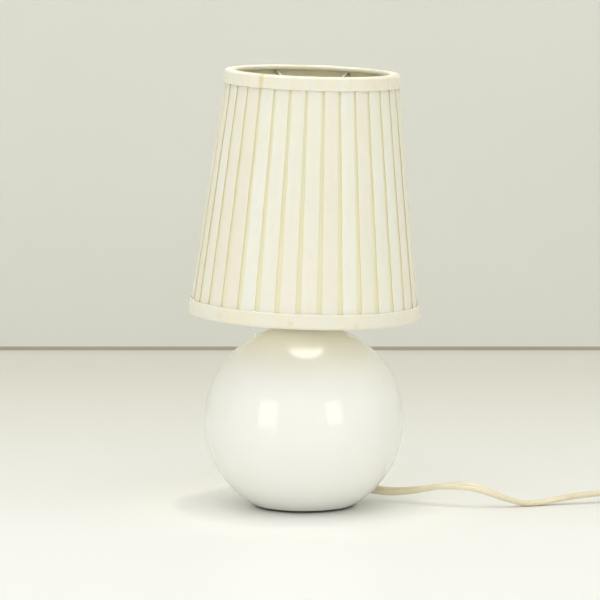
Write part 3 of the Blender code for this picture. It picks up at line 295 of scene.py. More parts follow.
def smooth_route(points, spacing):
    """Evenly spaced points on a smooth curve through the given ones."""
    points = [Vector(p) for p in points]
    ends = [2 * points[0] - points[1], *points, 2 * points[-1] - points[-2]]
    dense = [points[0]]
    for a, b, c, d in zip(ends, ends[1:], ends[2:], ends[3:]):
        for t in (step / 16 for step in range(1, 17)):
            bend = (2 * a - 5 * b + 4 * c - d) * t * t + (3 * b - a - 3 * c + d) * t**3
            dense.append(0.5 * (2 * b + (c - a) * t + bend))
    dense = np.array(dense)
    far = lengths(dense)
    wanted = np.linspace(0, far[-1], max(2, round(far[-1] / spacing) + 1))
    return np.stack([np.interp(wanted, far, dense[:, axis]) for axis in range(3)], axis=1)


def swept(centres, section, turns=None, sizes=None, closed=False):
    """Rings of a section carried along a line. With turns, in radians, the section's first axis starts level and
    turns by that much; without them it is carried along without turning."""
    centres, section = np.asarray(centres, float), np.asarray(section, float)
    line = np.concatenate([centres[-1:], centres, centres[:1]]) if closed else centres
    ways = np.gradient(line, axis=0)[1:-1] if closed else np.gradient(line, axis=0)
    ways /= np.linalg.norm(ways, axis=1)[:, None]
    side = np.cross(ways[0], (0, 0, 1) if abs(ways[0][2]) < 0.9 else (1, 0, 0))
    rings = []
    for i, (centre, way) in enumerate(zip(centres, ways)):
        if turns is not None:
            side = np.cross((0, 0, 1), way)
        side = side - way * side.dot(way)
        side /= np.linalg.norm(side)
        up = np.cross(way, side)
        a, b = side, up
        if turns is not None:
            c, s = cos(turns[i]), sin(turns[i])
            a, b = side * c + up * s, up * c - side * s
        size = 1.0 if sizes is None else sizes[i]
        rings.append(centre + size * (section[:, :1] * a + section[:, 1:] * b))
    return np.array(rings)


def circle(radius, steps):
    return [polar(radius, turn)[:2] for turn in around(steps)]


def wire_mesh(name, points, radius, steps=14, closed=False):
    """A round wire; its open ends are rounded over."""
    points = np.asarray(points, float)
    if closed:
        return grid_mesh(name, swept(points, circle(radius, steps), closed=True), loop=True)
    first, last = points[0] - points[1], points[-1] - points[-2]
    first, last = (way / np.linalg.norm(way) * radius for way in (first, last))
    start = [points[0] + 0.85 * first, points[0] + 0.5 * first]
    line = [*start, *points, points[-1] + 0.5 * last, points[-1] + 0.85 * last]
    sizes = [0.45, 0.85] + [1.0] * len(points) + [0.85, 0.45]
    return grid_mesh(name, swept(line, circle(radius, steps), sizes=sizes), caps=True)


def block_mesh(name, outline, levels):
    """A block with a flat outline of (x, y) points, drawn in by an inset at each of its (height, inset) levels."""
    outline = np.asarray(outline, float)
    back, ahead = outline - np.roll(outline, 1, axis=0), np.roll(outline, -1, axis=0) - outline
    way = back / np.linalg.norm(back, axis=1)[:, None] + ahead / np.linalg.norm(ahead, axis=1)[:, None]
    way /= np.linalg.norm(way, axis=1)[:, None]
    inward = np.stack([-way[:, 1], way[:, 0]], axis=1)
    level = np.ones((len(outline), 1))
    rows = [np.concatenate([outline + inward * inset, level * height], axis=1) for height, inset in levels]
    return grid_mesh(name, rows, caps=True)


def edge_levels(bottom, top, radius, steps):
    """The levels of a block whose top and bottom edges are rounded."""
    turns = [pi / 2 * step / steps for step in range(steps + 1)]
    made = [(bottom + radius * (1 - sin(turn)), radius * (1 - cos(turn))) for turn in turns]
    return made[::-1] + [(top - (h - bottom), inset) for h, inset in made]


def to_mesh(shape, name):
    mesh = bpy.data.meshes.new(name)
    shape.to_mesh(mesh)
    shape.free()
    return mesh


def joined(name, parts):
    """One mesh made of several, which are used up."""
    shape = bmesh.new()
    for part in parts:
        shape.from_mesh(part)
        bpy.data.meshes.remove(part)
    return to_mesh(shape, name)


def linked(name, data):
    made = bpy.data.objects.new(name, data)
    bpy.context.scene.collection.objects.link(made)
    return made


def shade_smooth(mesh, sharp=35):
    mesh.shade_smooth()
    mesh.set_sharp_from_angle(angle=radians(sharp))


def cut(body, cutter_mesh):
    """Cuts a mesh out of a body."""
    cutter = linked("cutter", cutter_mesh)
    modifier = body.modifiers.new("cut", "BOOLEAN")
    modifier.operation, modifier.object = "DIFFERENCE", cutter
    bpy.context.view_layer.update()
    made = bpy.data.meshes.new_from_object(body.evaluated_get(bpy.context.evaluated_depsgraph_get()))
    body.modifiers.remove(modifier)
    made.name = body.data.name
    body.data = made
    bpy.data.objects.remove(cutter)


# --- Pieces ----------


def piece(name, mesh, look, stands_for=(), body="base", slot=None, sharp=35):
    """Adds a piece that rides on a body and stands for CAD nodes. The slot argument is not used."""
    made = linked(name, mesh)
    mesh.materials.append(LOOKS[look])
    shade_smooth(mesh, sharp)
    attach(made, body)
    if stands_for:
        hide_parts(*([stands_for] if isinstance(stands_for, str) else stands_for))
    return made


def grid_piece(name, rings, look, stands_for=(), wrap=True, loop=False, caps=False, **more):
    return piece(name, grid_mesh(name, rings, wrap, loop, caps), look, stands_for, **more)


def leaned_piece(name, rings, look, stands_for=(), **more):
    return grid_piece(name, moved(rings, UPPER), look, stands_for, **more)


def wire_piece(name, line, radius, look, stands_for, body, closed=False):
    return piece(name, wire_mesh(name, moved(line, UPPER), radius, closed=closed), look, stands_for, body)


def disc_piece(name, node, look, body, edge, steps):
    """A flat ring with rounded edges, in place of a CAD ring."""
    place = span(node)
    profile = rounded_box(place.inner, place.low, place.outer, place.high, edge, steps)
    return leaned_piece(name, spun(profile, 96), look, node, loop=True, body=body)


def refined(node, name, look, body="base", edge=0.15 * MM):
    """A copy of a small CAD piece with its corners eased, which stands for it."""
    shape = bmesh.new()
    shape.from_mesh(frame["nodes"][node].data)
    bmesh.ops.remove_doubles(shape, verts=shape.verts, dist=0.001 * MM)
    bmesh.ops.dissolve_limit(shape, angle_limit=radians(1), verts=shape.verts, edges=shape.edges)
    keen = [e for e in shape.edges if len(e.link_faces) == 2 and e.calc_face_angle() > radians(40)]
    if edge:
        bmesh.ops.bevel(shape, geom=keen, offset=edge, segments=2, profile=0.5, affect="EDGES", clamp_overlap=True)
    return piece(name, to_mesh(shape, name), look, node, body, sharp=40)


def restyled(node, look):
    """A CAD piece that keeps its shape and gets a finer material."""
    kept = frame["nodes"][node]
    kept.data.materials.clear()
    kept.data.materials.append(LOOKS[look])
    return kept


# --- Materials ----------


def srgb(red, green, blue):
    """A colour from 8-bit sRGB values."""
    return tuple((c / 255 / 12.92) if c < 11 else ((c / 255 + 0.055) / 1.055) ** 2.4 for c in (red, green, blue))


class Look:
    """A Principled material, with short ways to wire its nodes."""

    def __init__(self, name, colour, roughness, metallic=0.0, **sockets):
        self.name, self.material = name, bpy.data.materials.new(name)
        self.material.use_nodes = True
        self.tree = self.material.node_tree
        self.shader = self.tree.nodes["Principled BSDF"]
        self.colour = (*colour, 1.0)
        self.normal = None
        values = {"Base Color": self.colour, "Roughness": roughness, "Metallic": metallic, **sockets}
        for socket, value in values.items():
            self.shader.inputs[socket.replace("_", " ")].default_value = value

    def node(self, kind, inputs=(), **settings):
        made = self.tree.nodes.new(kind)
        for key, value in settings.items():
            setattr(made, key, value)
        for key, value in dict(inputs).items():
            if isinstance(value, bpy.types.NodeSocket):
                self.tree.links.new(value, made.inputs[key])
            else:
                made.inputs[key].default_value = value
        return made

    def here(self, space="Object"):
        """Texture coordinates, in metres."""
        return self.node("ShaderNodeTexCoord").outputs[space]

    def axis(self, name):
        return self.node("ShaderNodeSeparateXYZ", {0: self.here()}).outputs[name]

    def noise(self, size, detail, stretch=(1, 1, 1)):
        """A cloudy value from 0 to 1 whose clouds are about that size, in metres."""
        spot = self.node("ShaderNodeMapping", {"Vector": self.here(), "Scale": stretch}).outputs["Vector"]
        made = self.node("ShaderNodeTexNoise", {"Vector": spot, "Scale": 1 / size, "Detail": detail})
        return made.outputs["Fac"]

    def stripes(self, period, direction, distortion=0.0):
        """Soft stripes that follow the UVs, with a period in metres."""
        inputs = {"Vector": self.here("UV"), "Scale": ROUND / 20 / period, "Distortion": distortion}
        return self.node("ShaderNodeTexWave", inputs, bands_direction=direction).outputs["Fac"]

    def attribute(self, name):
        return self.node("ShaderNodeAttribute", attribute_name=name).outputs["Fac"]

    def times(self, first, second):
        return self.node("ShaderNodeMath", {0: first, 1: second}, operation="MULTIPLY").outputs[0]

    def between(self, value, low, high, to_low=0.0, to_high=1.0):
        """A value's place from low to high, as 0 to 1 or another range."""
        inputs = {"Value": value, "From Min": low, "From Max": high, "To Min": to_low, "To Max": to_high}
        return self.node("ShaderNodeMapRange", inputs).outputs["Result"]

    def near(self, spot, reach):
        """1 at a spot, falling to 0 as far off as the reach."""
        away = self.node("ShaderNodeVectorMath", {0: self.here(), 1: tuple(spot)}, operation="DISTANCE")
        return self.between(away.outputs["Value"], reach, 0)

    def tint(self, amount, colour):
        """Mixes a colour over the base colour by an amount, a socket from 0 to 1."""
        base = self.shader.inputs["Base Color"]
        under = base.links[0].from_socket if base.links else self.colour
        made = self.node("ShaderNodeMix", {"Factor": amount, 7: (*colour, 1.0), 6: under}, data_type="RGBA")
        self.tree.links.new(made.outputs[2], base)

    def clouds(self, size, detail, colour, low=None, high=None, amount=1.0, stretch=(1, 1, 1)):
        """Clouds of a colour: none of it at the low noise value, and the amount at the high one."""
        value = self.noise(size, detail, stretch)
        self.tint(value if low is None else self.between(value, low, high, 0.0, amount), colour)

    def rough(self, value, low, high):
        """Roughness from low to high as a value goes from 0 to 1."""
        self.tree.links.new(self.between(value, 0.0, 1.0, low, high), self.shader.inputs["Roughness"])

    def bump(self, height, depth, strength=1.0):
        """Relief whose depth is in metres."""
        inputs = {"Height": height, "Distance": depth, "Strength": strength}
        if self.normal:
            inputs["Normal"] = self.normal
        self.normal = self.node("ShaderNodeBump", inputs).outputs["Normal"]
        self.tree.links.new(self.normal, self.shader.inputs["Normal"])

    def grain(self, size, detail, depth, strength=1.0, stretch=(1, 1, 1)):
        self.bump(self.noise(size, detail, stretch), depth, strength)

    def mixed(self, share, other):
        """Mixes another shader over this one by a share."""
        made = self.node("ShaderNodeMixShader", {0: share, 1: self.shader.outputs[0], 2: other.outputs[0]})
        self.tree.links.new(made.outputs[0], self.tree.nodes["Material Output"].inputs["Surface"])

    def translucent(self, share, colour):
        """Lets a share of the light through thin cloth."""
        self.mixed(share, self.node("ShaderNodeBsdfTranslucent", {"Color": (*colour, 1.0)}))

    def weave(self):
        """Crossing threads that follow the cloth."""
        warp, weft = (self.stripes(0.42 * MM, direction, 0.3) for direction in "XY")
        self.bump(self.times(warp, weft), 0.06 * MM)


def plain(name, colour, roughness, clouds=(), rough=None, grains=(), **sockets):
    """A look with clouds of other colours, a roughness (size, detail, low, high) that changes, and fine relief."""
    look = Look(name, colour, roughness, **sockets)
    for cloud in clouds:
        look.clouds(*cloud)
    if rough:
        look.rough(look.noise(*rough[:2]), *rough[2:])
    for grain in grains:
        look.grain(*grain)
    return look


def glaze():
    look = Look("glaze", srgb(234, 234, 228), 0.02, IOR=1.6)
    look.clouds(0.035, 4, srgb(238, 237, 227), 0.35, 0.75, 0.35)
    look.tint(look.between(look.axis("Z"), FOOT_Z + 0.6 * MM, FOOT_Z, 0.0, 0.7), srgb(214, 202, 176))
    look.clouds(0.0009, 1, srgb(196, 186, 160), 0.735, 0.77, 0.25)
    look.rough(look.noise(0.012, 3), 0.0, 0.03)
    look.grain(0.006, 2, 0.02 * MM, 0.3)
    return look


def metal(name, colour, roughness, worn):
    """Plated or bare metal with fine scratches and duller patches."""
    rough = (0.0025, 4, 0.7 * roughness, 1.5 * roughness)
    scratches = (0.0004, 2, 0.02 * MM, 0.4, (1, 1, 8))
    return plain(name, colour, roughness, [(0.004, 5, worn, 0.4, 0.7)], rough, [scratches], metallic=1.0)


def plastic(name, colour, aged, roughness, *grains):
    """Moulded plastic, a little yellowed in places."""
    rough, waves = (0.003, 4, 0.8 * roughness, 1.3 * roughness), (0.0012, 3, 0.03 * MM, 0.3)
    return plain(name, colour, roughness, [(0.02, 4, aged, 0.35, 0.7, 0.7)], rough, [waves, *grains])


def glass():
    look = Look("bulb_glass", (0.97, 0.98, 0.98), 0.02, IOR=1.48, Transmission_Weight=1.0)
    look.rough(look.between(look.noise(0.01, 3), 0.4, 0.7), 0.01, 0.05)
    look.grain(0.012, 2, 0.05 * MM, 0.15)
    return look


def pleat_cloth():
    """Ivory cloth: yellowed down in its folds, with panels that differ a little and faint diagonal mottling."""
    look = Look("pleated_fabric", srgb(252, 255, 251), 0.85, Sheen_Weight=0.15, Sheen_Roughness=0.5)
    look.tint(look.between(look.attribute("panel"), 0.0, 1.0, 0.0, 0.8), srgb(251, 243, 233))
    look.clouds(0.045, 5, srgb(247, 246, 226), 0.42, 0.72, 0.55)
    look.clouds(0.007, 5, srgb(244, 234, 216), 0.5, 0.75, 0.3, (1.6, 1.6, 0.7))
    look.tint(look.attribute("fold"), srgb(252, 247, 214))
    look.tint(look.between(look.attribute("edge"), 0.0, 1.0, 0.0, 0.4), srgb(248, 244, 222))
    look.translucent(0.34, srgb(255, 255, 248))
    look.weave()
    look.grain(0.0035, 4, 0.10 * MM, 0.45, (1, 1, 0.45))
    return look


def band_cloth():
    """Bias tape of the same cloth, with a few brown marks on the lower one and a yellowed join on the upper one."""
    look = Look("band_fabric", srgb(237, 236, 221), 0.85, Sheen_Weight=0.15, Sheen_Roughness=0.5)
    look.clouds(0.022, 5, srgb(242, 232, 210), 0.40, 0.66, 0.9)
    look.clouds(0.009, 5, srgb(236, 228, 194), 0.52, 0.74, 0.45, (1, 1, 0.6))
    look.tint(look.between(look.attribute("join"), 0.0, 1.0, 0.0, 0.8), srgb(228, 212, 160))
    for azimuth, share, size in ((-136.4, 0.45, 3.2), (-97.0, 0.4, 3.0), (-64.0, 0.3, 2.4)):
        height = SHADE_LOW.low + share * (SHADE_LOW.high - SHADE_LOW.low)
        spot = UPPER @ Vector(polar(shade_radius(height), radians(azimuth), height))
        blotch = look.times(look.near(spot, size * MM), look.between(look.noise(0.001, 3), 0.3, 0.6))
        look.tint(blotch, srgb(228, 214, 172))
    look.weave()
    look.grain(0.005, 4, 0.16 * MM, 0.6, (1.3, 1.3, 0.6))
    look.translucent(0.12, srgb(252, 248, 228))
    return look


def laminate():
    clouds = [(0.03, 5, srgb(254, 249, 222), 0.35, 0.7, 0.8)]
    look = plain("lining", srgb(255, 253, 238), 0.6, clouds, grains=[(0.0015, 4, 0.05 * MM, 0.5)])
    look.translucent(0.5, srgb(255, 252, 230))
    return look


def core(name, colour, dark):
    return plain(name, colour, 0.4, [(0.001, 3, dark)], grains=[(0.0006, 2, 0.02 * MM, 0.4)])


def tie_plastic():
    look = plain("tie", srgb(236, 234, 226), 0.6, [(0.003, 4, srgb(222, 216, 200))])
    look.bump(look.stripes(0.5 * MM, "X"), 0.05 * MM, 0.4)
    return look


RUBBER_GRAIN, PORCELAIN_GRAIN = (0.0005, 3, 0.04 * MM, 0.5), (0.0008, 3, 0.03 * MM, 0.5)
CORD_CLOUDS = [(0.02, 5, srgb(208, 196, 160), 0.35, 0.7, 0.8), (0.002, 4, srgb(186, 172, 134), 0.6, 0.75, 0.4)]
NAP = (0.0006, 4, 0.3 * MM, 0.8, (1, 1, 0.2))
ALL_LOOKS = [
    glaze(),
    plain("felt", (0.10, 0.085, 0.07), 0.95, [(0.002, 6, (0.05, 0.045, 0.04))], grains=[NAP], Sheen_Weight=0.4),
    plain("rubber", srgb(206, 196, 170), 0.55, [(0.004, 3, srgb(190, 180, 152))], None, [RUBBER_GRAIN]),
    metal("steel", (0.58, 0.58, 0.57), 0.3, (0.42, 0.41, 0.39)),
    metal("shade_wire", (0.66, 0.64, 0.60), 0.28, (0.44, 0.40, 0.33)),
    metal("brass", (0.72, 0.54, 0.24), 0.28, (0.50, 0.36, 0.17)),
    metal("bulb_cap", (0.72, 0.70, 0.66), 0.32, (0.55, 0.52, 0.47)),
    plastic("holder_plastic", srgb(226, 218, 192), srgb(206, 192, 152), 0.35),
    plain("porcelain", srgb(232, 228, 216), 0.3, [(0.006, 4, srgb(220, 212, 192))], None, [PORCELAIN_GRAIN]),
    glass(),
    plain("filament", (0.32, 0.31, 0.30), 0.45, [(0.001, 3, (0.18, 0.17, 0.18))], metallic=0.9),
    pleat_cloth(),
    band_cloth(),
    laminate(),
    plain("cord", srgb(226, 217, 190), 0.34, CORD_CLOUDS, (0.006, 3, 0.26, 0.44), [(0.0015, 3, 0.05 * MM, 0.35)]),
    core("core_brown", (0.20, 0.09, 0.04), (0.12, 0.05, 0.02)),
    core("core_blue", (0.06, 0.17, 0.42), (0.03, 0.10, 0.30)),
    plastic("switch_plastic", srgb(228, 220, 194), srgb(212, 200, 164), 0.38, (0.0004, 2, 0.02 * MM, 0.6)),
    tie_plastic(),
]
LOOKS = {look.name: look.material for look in ALL_LOOKS}


# --- Camera, light and surroundings ----------


def camera():
    made = linked("camera", bpy.data.cameras.new("camera"))
    made.data.lens, made.data.sensor_width = 252.0, 36.0
    made.location = (-0.0026, -2.65, 0.462)
    made.rotation_euler = (radians(90 - 7.1), 0, 0)
    bpy.context.scene.camera = made


def softbox(name, azimuth, elevation, width, height, brightness, away=2.0, diffuse=True, glossy=True, **settings):
    """A soft light so far from the ball. Azimuth 0 is the front, and a positive one is to the right."""
    rise = radians(elevation)
    towards = Vector(polar(cos(rise), radians(azimuth - 90), sin(rise)))
    made = linked(name, bpy.data.lights.new(name, "AREA"))
    made.data.shape, made.data.size, made.data.size_y = "RECTANGLE", width, height
    made.data.energy = brightness * pi * width * height
    for setting, value in settings.items():
        setattr(made.data, setting, value)
    made.location = Vector((0, 0, BALL_CENTRE_Z)) + away * towards
    made.rotation_euler = towards.to_track_quat("Z", "Y").to_euler()
    made.visible_camera, made.visible_diffuse, made.visible_glossy = False, diffuse, glossy


def lights():
    softbox("softbox_left", -43, 13, 0.8, 1.1, 1.6, diffuse=False)
    softbox("softbox_right", 36, 16, 0.66, 0.95, 1.6, diffuse=False)
    softbox("front_fill", -10, 10, 3.0, 0.8, 0.6, glossy=False)
    softbox("high_front", 0, 66, 1.2, 0.5, 1.2)
    softbox("overhead", 0, 84, 1.3, 1.1, 1.9, glossy=False)
    softbox("skylight", 0, 90, 0.9, 0.9, 4.0, 1.6, diffuse=False)
    narrow, warm = radians(16), (1.0, 0.9, 0.66)
    softbox("above_shade", 0, 90, 0.12, 0.12, 0.5, 0.8, glossy=False, spread=narrow, color=warm)
    world = bpy.data.worlds.new("room")
    world.use_nodes = True
    world.node_tree.nodes["Background"].inputs["Color"].default_value = (1.0, 0.995, 0.97, 1.0)
    world.node_tree.nodes["Background"].inputs["Strength"].default_value = 1.0
    bpy.context.scene.world = world
    bpy.context.scene.view_settings.view_transform = "Standard"


def stage_piece(name, size, look, location, upright=True):
    """A sheet of the surroundings. An upright one is seen only from the front."""
    shape = bmesh.new()
    bmesh.ops.create_grid(shape, x_segments=1, y_segments=1, size=0.5)
    bmesh.ops.scale(shape, vec=(size[0], size[1], 1), verts=shape.verts)
    made = linked(name, to_mesh(shape, name))
    made.data.materials.append(look.material)
    made.location = location
    if upright:
        made.rotation_euler = (pi / 2, 0, 0)
        look.mixed(look.node("ShaderNodeNewGeometry").outputs["Backfacing"], look.node("ShaderNodeBsdfTransparent"))


def stage():
    wall_y, gap_shadow_height = 0.73, 3 * MM
    table = Look("table", srgb(240, 240, 237), 0.35)
    # Painted light: the table gets darker towards the back, a painted falloff of the light.
    table.tint(table.between(table.axis("Y"), -0.1, 0.6), srgb(215, 213, 202))
    stage_piece("table", (12, 12), table, (0, 0, 0), upright=False)
    wall = plain("wall", srgb(215, 216, 208), 0.9, [(0.3, 3, srgb(209, 210, 201), 0.4, 0.7, 0.5)])
    stage_piece("wall", (12, 3), wall, (0, wall_y, 1.5))
    # A dark strip along the foot of the wall: painted shadow in the gap between the table and the wall.
    seam = plain("seam", srgb(176, 168, 150), 0.9, [(0.1, 2, srgb(160, 152, 134))])
    stage_piece("seam", (12, gap_shadow_height), seam, (0, wall_y - 0.5 * MM, gap_shadow_height / 2))


# --- Cord, coil, switch and plug ----------


def coil_line():
    """Round the bottom layer inwards, then round the top layer outwards."""
    low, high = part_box("cord_coil")
    reach = (high.x - low.x) / 2 - CORD_THICKNESS / 2 - GAP / 2
    turns = 2 * COIL_TURNS_PER_LAYER
    made = []
    for turn in np.linspace(0, turns, round(turns * COIL_STEPS) + 1):
        radius = reach - min(turn, turns - turn) * COIL_PITCH
        rise = (eased((turn - COIL_TURNS_PER_LAYER) / COIL_CLIMB + 0.5) - 0.5) * COIL_LAYER_HEIGHT
        made.append(polar(radius, ROUND * turn - pi / 2, rise, (low + high) / 2))
    return np.array(made)


def cord_section():
    """Two round cores side by side, joined by a web with a groove along each face."""
    radius, offset = CORD_THICKNESS / 2, (CORD_WIDTH - CORD_THICKNESS) / 2
    right = [(offset + x, y) for x, y in arc((0, 0), radius, -118, 118, 14)]
    return [*right, (0, 0.72 * radius), *[(-x, y) for x, y in reversed(right)], (0, -0.72 * radius)]


def cord():
    """The whole cord as one piece. It starts in the bush and passes through the switch."""
    coil, first, last = coil_line(), ROUTE_TO_SWITCH[0], ROUTE_TO_PLUG[-1]
    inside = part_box("cord_bush")[0].x + 2 * MM
    entry = [(inside + (first[0] - inside) * share, *first[1:]) for share in (0.0, 0.35, 0.7)]
    out = [*entry, *ROUTE_TO_SWITCH, *ROUTE_TO_COIL, coil[0]]
    back = [coil[-1], *ROUTE_TO_PLUG, (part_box("plug_body")[1].x - CORD_IN_PLUG, *last[1:])]
    line = np.concatenate([smooth_route(out, CORD_STEP)[:-1], coil, smooth_route(back, CORD_STEP)[1:]])
    far = lengths(line)
    length = far[-1]
    after_coil = length - lengths(back)[-1]
    marks = [(d * MM, a) for d, a in TWISTS] + [(after_coil, 90), (length - 8 * MM, 0), (length, 0)]
    rings = swept(line, cord_section(), np.radians(np.interp(far, *zip(*marks))))
    nodes = ("cord_to_switch", "cord_to_coil", "cord_coil", "cord_to_plug")
    return grid_piece("mains_cord", rings, "cord", nodes, caps=True, sharp=60), line, length


def tie():
    """A flat tie round the coil, with its ends twisted together on top."""
    low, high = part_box("cord_tie")
    middle, inset = (low + high) / 2, 0.4 * MM
    wide, tall = (high.x - low.x) / 2 - inset, (high.z - low.z) / 2 - inset
    loop = [(middle.x + x, middle.y, middle.z + z) for x, z in rounded_box(-wide, -tall, wide, tall, 2 * MM, 6)]
    strip = rounded_box(-0.25 * MM, -1.9 * MM, 0.25 * MM, 1.9 * MM, 0.2 * MM, 3)
    rings = swept(loop, strip, [pi / 2] * len(loop), closed=True)
    made = [grid_piece("cord_tie_loop", rings, "tie", "cord_tie", loop=True)]
    strip = rounded_box(-0.2 * MM, -1.2 * MM, 0.2 * MM, 1.2 * MM, 0.15 * MM, 2)
    for number, side in enumerate((1, -1), 1):
        points, turns = [], []
        for share in np.linspace(0, 1, 31):
            twist = 1.6 * ROUND * share
            radius = side * (0.9 + 0.9 * share) * MM
            height = high.z + (0.5 + 1.2 * sin(pi * share)) * MM + 0.6 * radius * sin(twist)
            points.append((middle.x + (2 - 13 * share) * MM, middle.y + radius * cos(twist), height))
            turns.append(side * twist)
        made.append(grid_piece(f"cord_tie_end_{number}", swept(points, strip, turns), "tie", caps=True))
    return made


def switch():
    """The two halves of the housing, with the cord's channel, the window for the rocker and a grip pattern."""
    halves = []
    for node in ("switch_base", "switch_cover"):
        low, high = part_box(node)
        levels = edge_levels(low.z, high.z, 1.6 * MM, 6)
        half, lip = len(levels) // 2, 0.35 * MM
        if node == "switch_base":
            levels = [*levels[:half], (high.z - lip, 0.0), (high.z, lip)]
        else:
            levels = [(low.z, lip), (low.z + lip, 0.0), *levels[half:]]
        mesh = block_mesh(f"{node}_shell", rounded_box(low.x, low.y, high.x, high.y, 8 * MM, 12), levels)
        halves.append(piece(f"{node}_shell", mesh, "switch_plastic", node))
    top = high.z
    low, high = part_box("switch_base")
    middle, split = (low.y + high.y) / 2, high.z + GAP / 2
    wide, thick = CORD_WIDTH / 2 + GAP, CORD_THICKNESS / 2 + GAP
    channel = rounded_box(-wide, -thick, wide, thick, 1.6 * MM, 5)
    run = [(low.x - MM, middle, split), (high.x + MM, middle, split)]
    for half in halves:
        cut(half, grid_mesh("channel", swept(run, channel, [0, 0]), caps=True))
    rocker_low, rocker_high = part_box("switch_rocker")
    x, y, _ = JOINTS["switch_rock"]["pos_m"]
    wide = (rocker_high.y - rocker_low.y) / 2 - 0.9 * MM
    window = [(x + a, y + b) for a, b in rounded_box(-8 * MM, -wide, 8 * MM, wide, 0.6 * MM, 4)]
    cut(halves[1], block_mesh("window", window, [(split + 3 * MM, 0), (top + MM, 0)]))
    for half in halves:
        shade_smooth(half.data)
    width = (high.y - low.y) / 2 - 5.5 * MM
    return [*halves, grips("left", low.x, 1, middle, width, top), grips("right", high.x, -1, middle, width, top)]


def grips(name, end, inward, middle, width, top):
    """Low ribs across the housing at one of its ends."""
    ribs = []
    for number in range(4):
        x = end + inward * (6.5 + 2.6 * number) * MM
        places = ((-1, 0.15), (-0.5, 0.05), (0.5, 0.05), (1, 0.15))
        line = [(x, middle + width * share, top - depth * MM) for share, depth in places]
        ribs.append(wire_mesh("rib", line, 0.55 * MM, 10))
    return piece(f"switch_grip_{name}", joined(f"switch_grip_{name}", ribs), "switch_plastic")


def plug_sections(low, high, relief):
    """Place, half width, half thickness and squareness of the plug's sections, from the cord's end to its face."""
    half_width, half_thick = (high.y - low.y) / 2, (high.z - low.z) / 2
    body, ribs, ribbed = high.x - relief - low.x, 5, 0.9
    made = []
    for step in range(41):
        share = step / 40
        radius = (3.4 + 1.8 * share) * MM
        if share < ribbed:
            radius -= 0.45 * MM * (0.5 - 0.5 * cos(ROUND * ribs * share / ribbed))
        made.append((high.x - relief * share, radius, radius, 2.0))
    for step in range(1, 41):
        share = step / 40
        swell = eased(share / 0.45)
        waist = 0.05 * sin(pi * min(1.0, max(0.0, (share - 0.45) / 0.55)))
        wide = 5.6 * MM + (half_width - 5.6 * MM) * swell
        thick = 5.3 * MM + (half_thick - 5.3 * MM) * swell
        place = high.x - relief - body * share
        made.append((place, wide * (1 - waist), thick * (1 - 0.4 * waist), 2.0 + 1.6 * swell))
    for step in range(1, 7):
        inset = 1.4 * MM * (1 - cos(pi / 2 * step / 6))
        made.append((low.x, half_width - inset, half_thick - inset, 3.6))
    return made


def plug():
    """The plug's body and its two pins, each with a plastic sleeve over half of its length."""
    low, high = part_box("plug_body")
    pin_low, pin_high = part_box("plug_pin_left")
    middle = (low + high) / 2
    rows = []
    for x, wide, thick, power in plug_sections(low, high, 22 * MM):
        turn = around(64)
        left, up = (np.sign(part) * np.abs(part) ** (2 / power) for part in (np.cos(turn), np.sin(turn)))
        rows.append(np.stack([np.full(64, x), middle.y - wide * left, middle.z + thick * up], axis=1))
    made = [grid_piece("plug_shell", rows, "switch_plastic", "plug_body", caps=True)]
    radius = (pin_high.z - pin_low.z) / 2
    thin = 0.93 * radius
    for side in ("left", "right"):
        node = f"plug_pin_{side}"
        pin_low, pin_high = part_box(node)
        centre, length = (pin_low + pin_high) / 2, low.x - pin_low.x
        outwards = Matrix.Translation((low.x, centre.y, centre.z)) @ Matrix.Rotation(radians(-90), 4, "Y")
        tip = arc((thin - 1.2 * MM, length - 1.4 * MM), 1.2 * MM, 0, 80, 6)
        metal_part = spun([*beside(thin, 0, (0, -3)), *beside(thin, length, (0, -2.2)), *tip, (TINY, length)], 32)
        half, back = 0.5 * length, -0.5 * MM
        collar = [(0.95 * radius, back), (radius, back), (radius, half - 0.3 * MM), (0.95 * radius, half)]
        made += [
            grid_piece(f"{node}_metal", moved(metal_part, outwards), "bulb_cap", node, caps=True, slot="brass"),
            grid_piece(f"{node}_sleeve", moved(spun(collar, 32), outwards), "switch_plastic", loop=True),
        ]
    return made


def cord_and_fittings():
    made, line, length = cord()
    on_cord = [*tie(), *switch(), *plug()]
    on_cord.append(refined("switch_rocker", "rocker_key", "switch_plastic", "switch_rocker", 0.5 * MM))
    for letter in ("a", "b"):
        on_cord.append(refined(f"switch_screw_{letter}", f"screw_{letter}", "steel"))
        on_cord.append(restyled(f"switch_contact_{letter}", "brass"))


# --- Ball and its fittings ----------


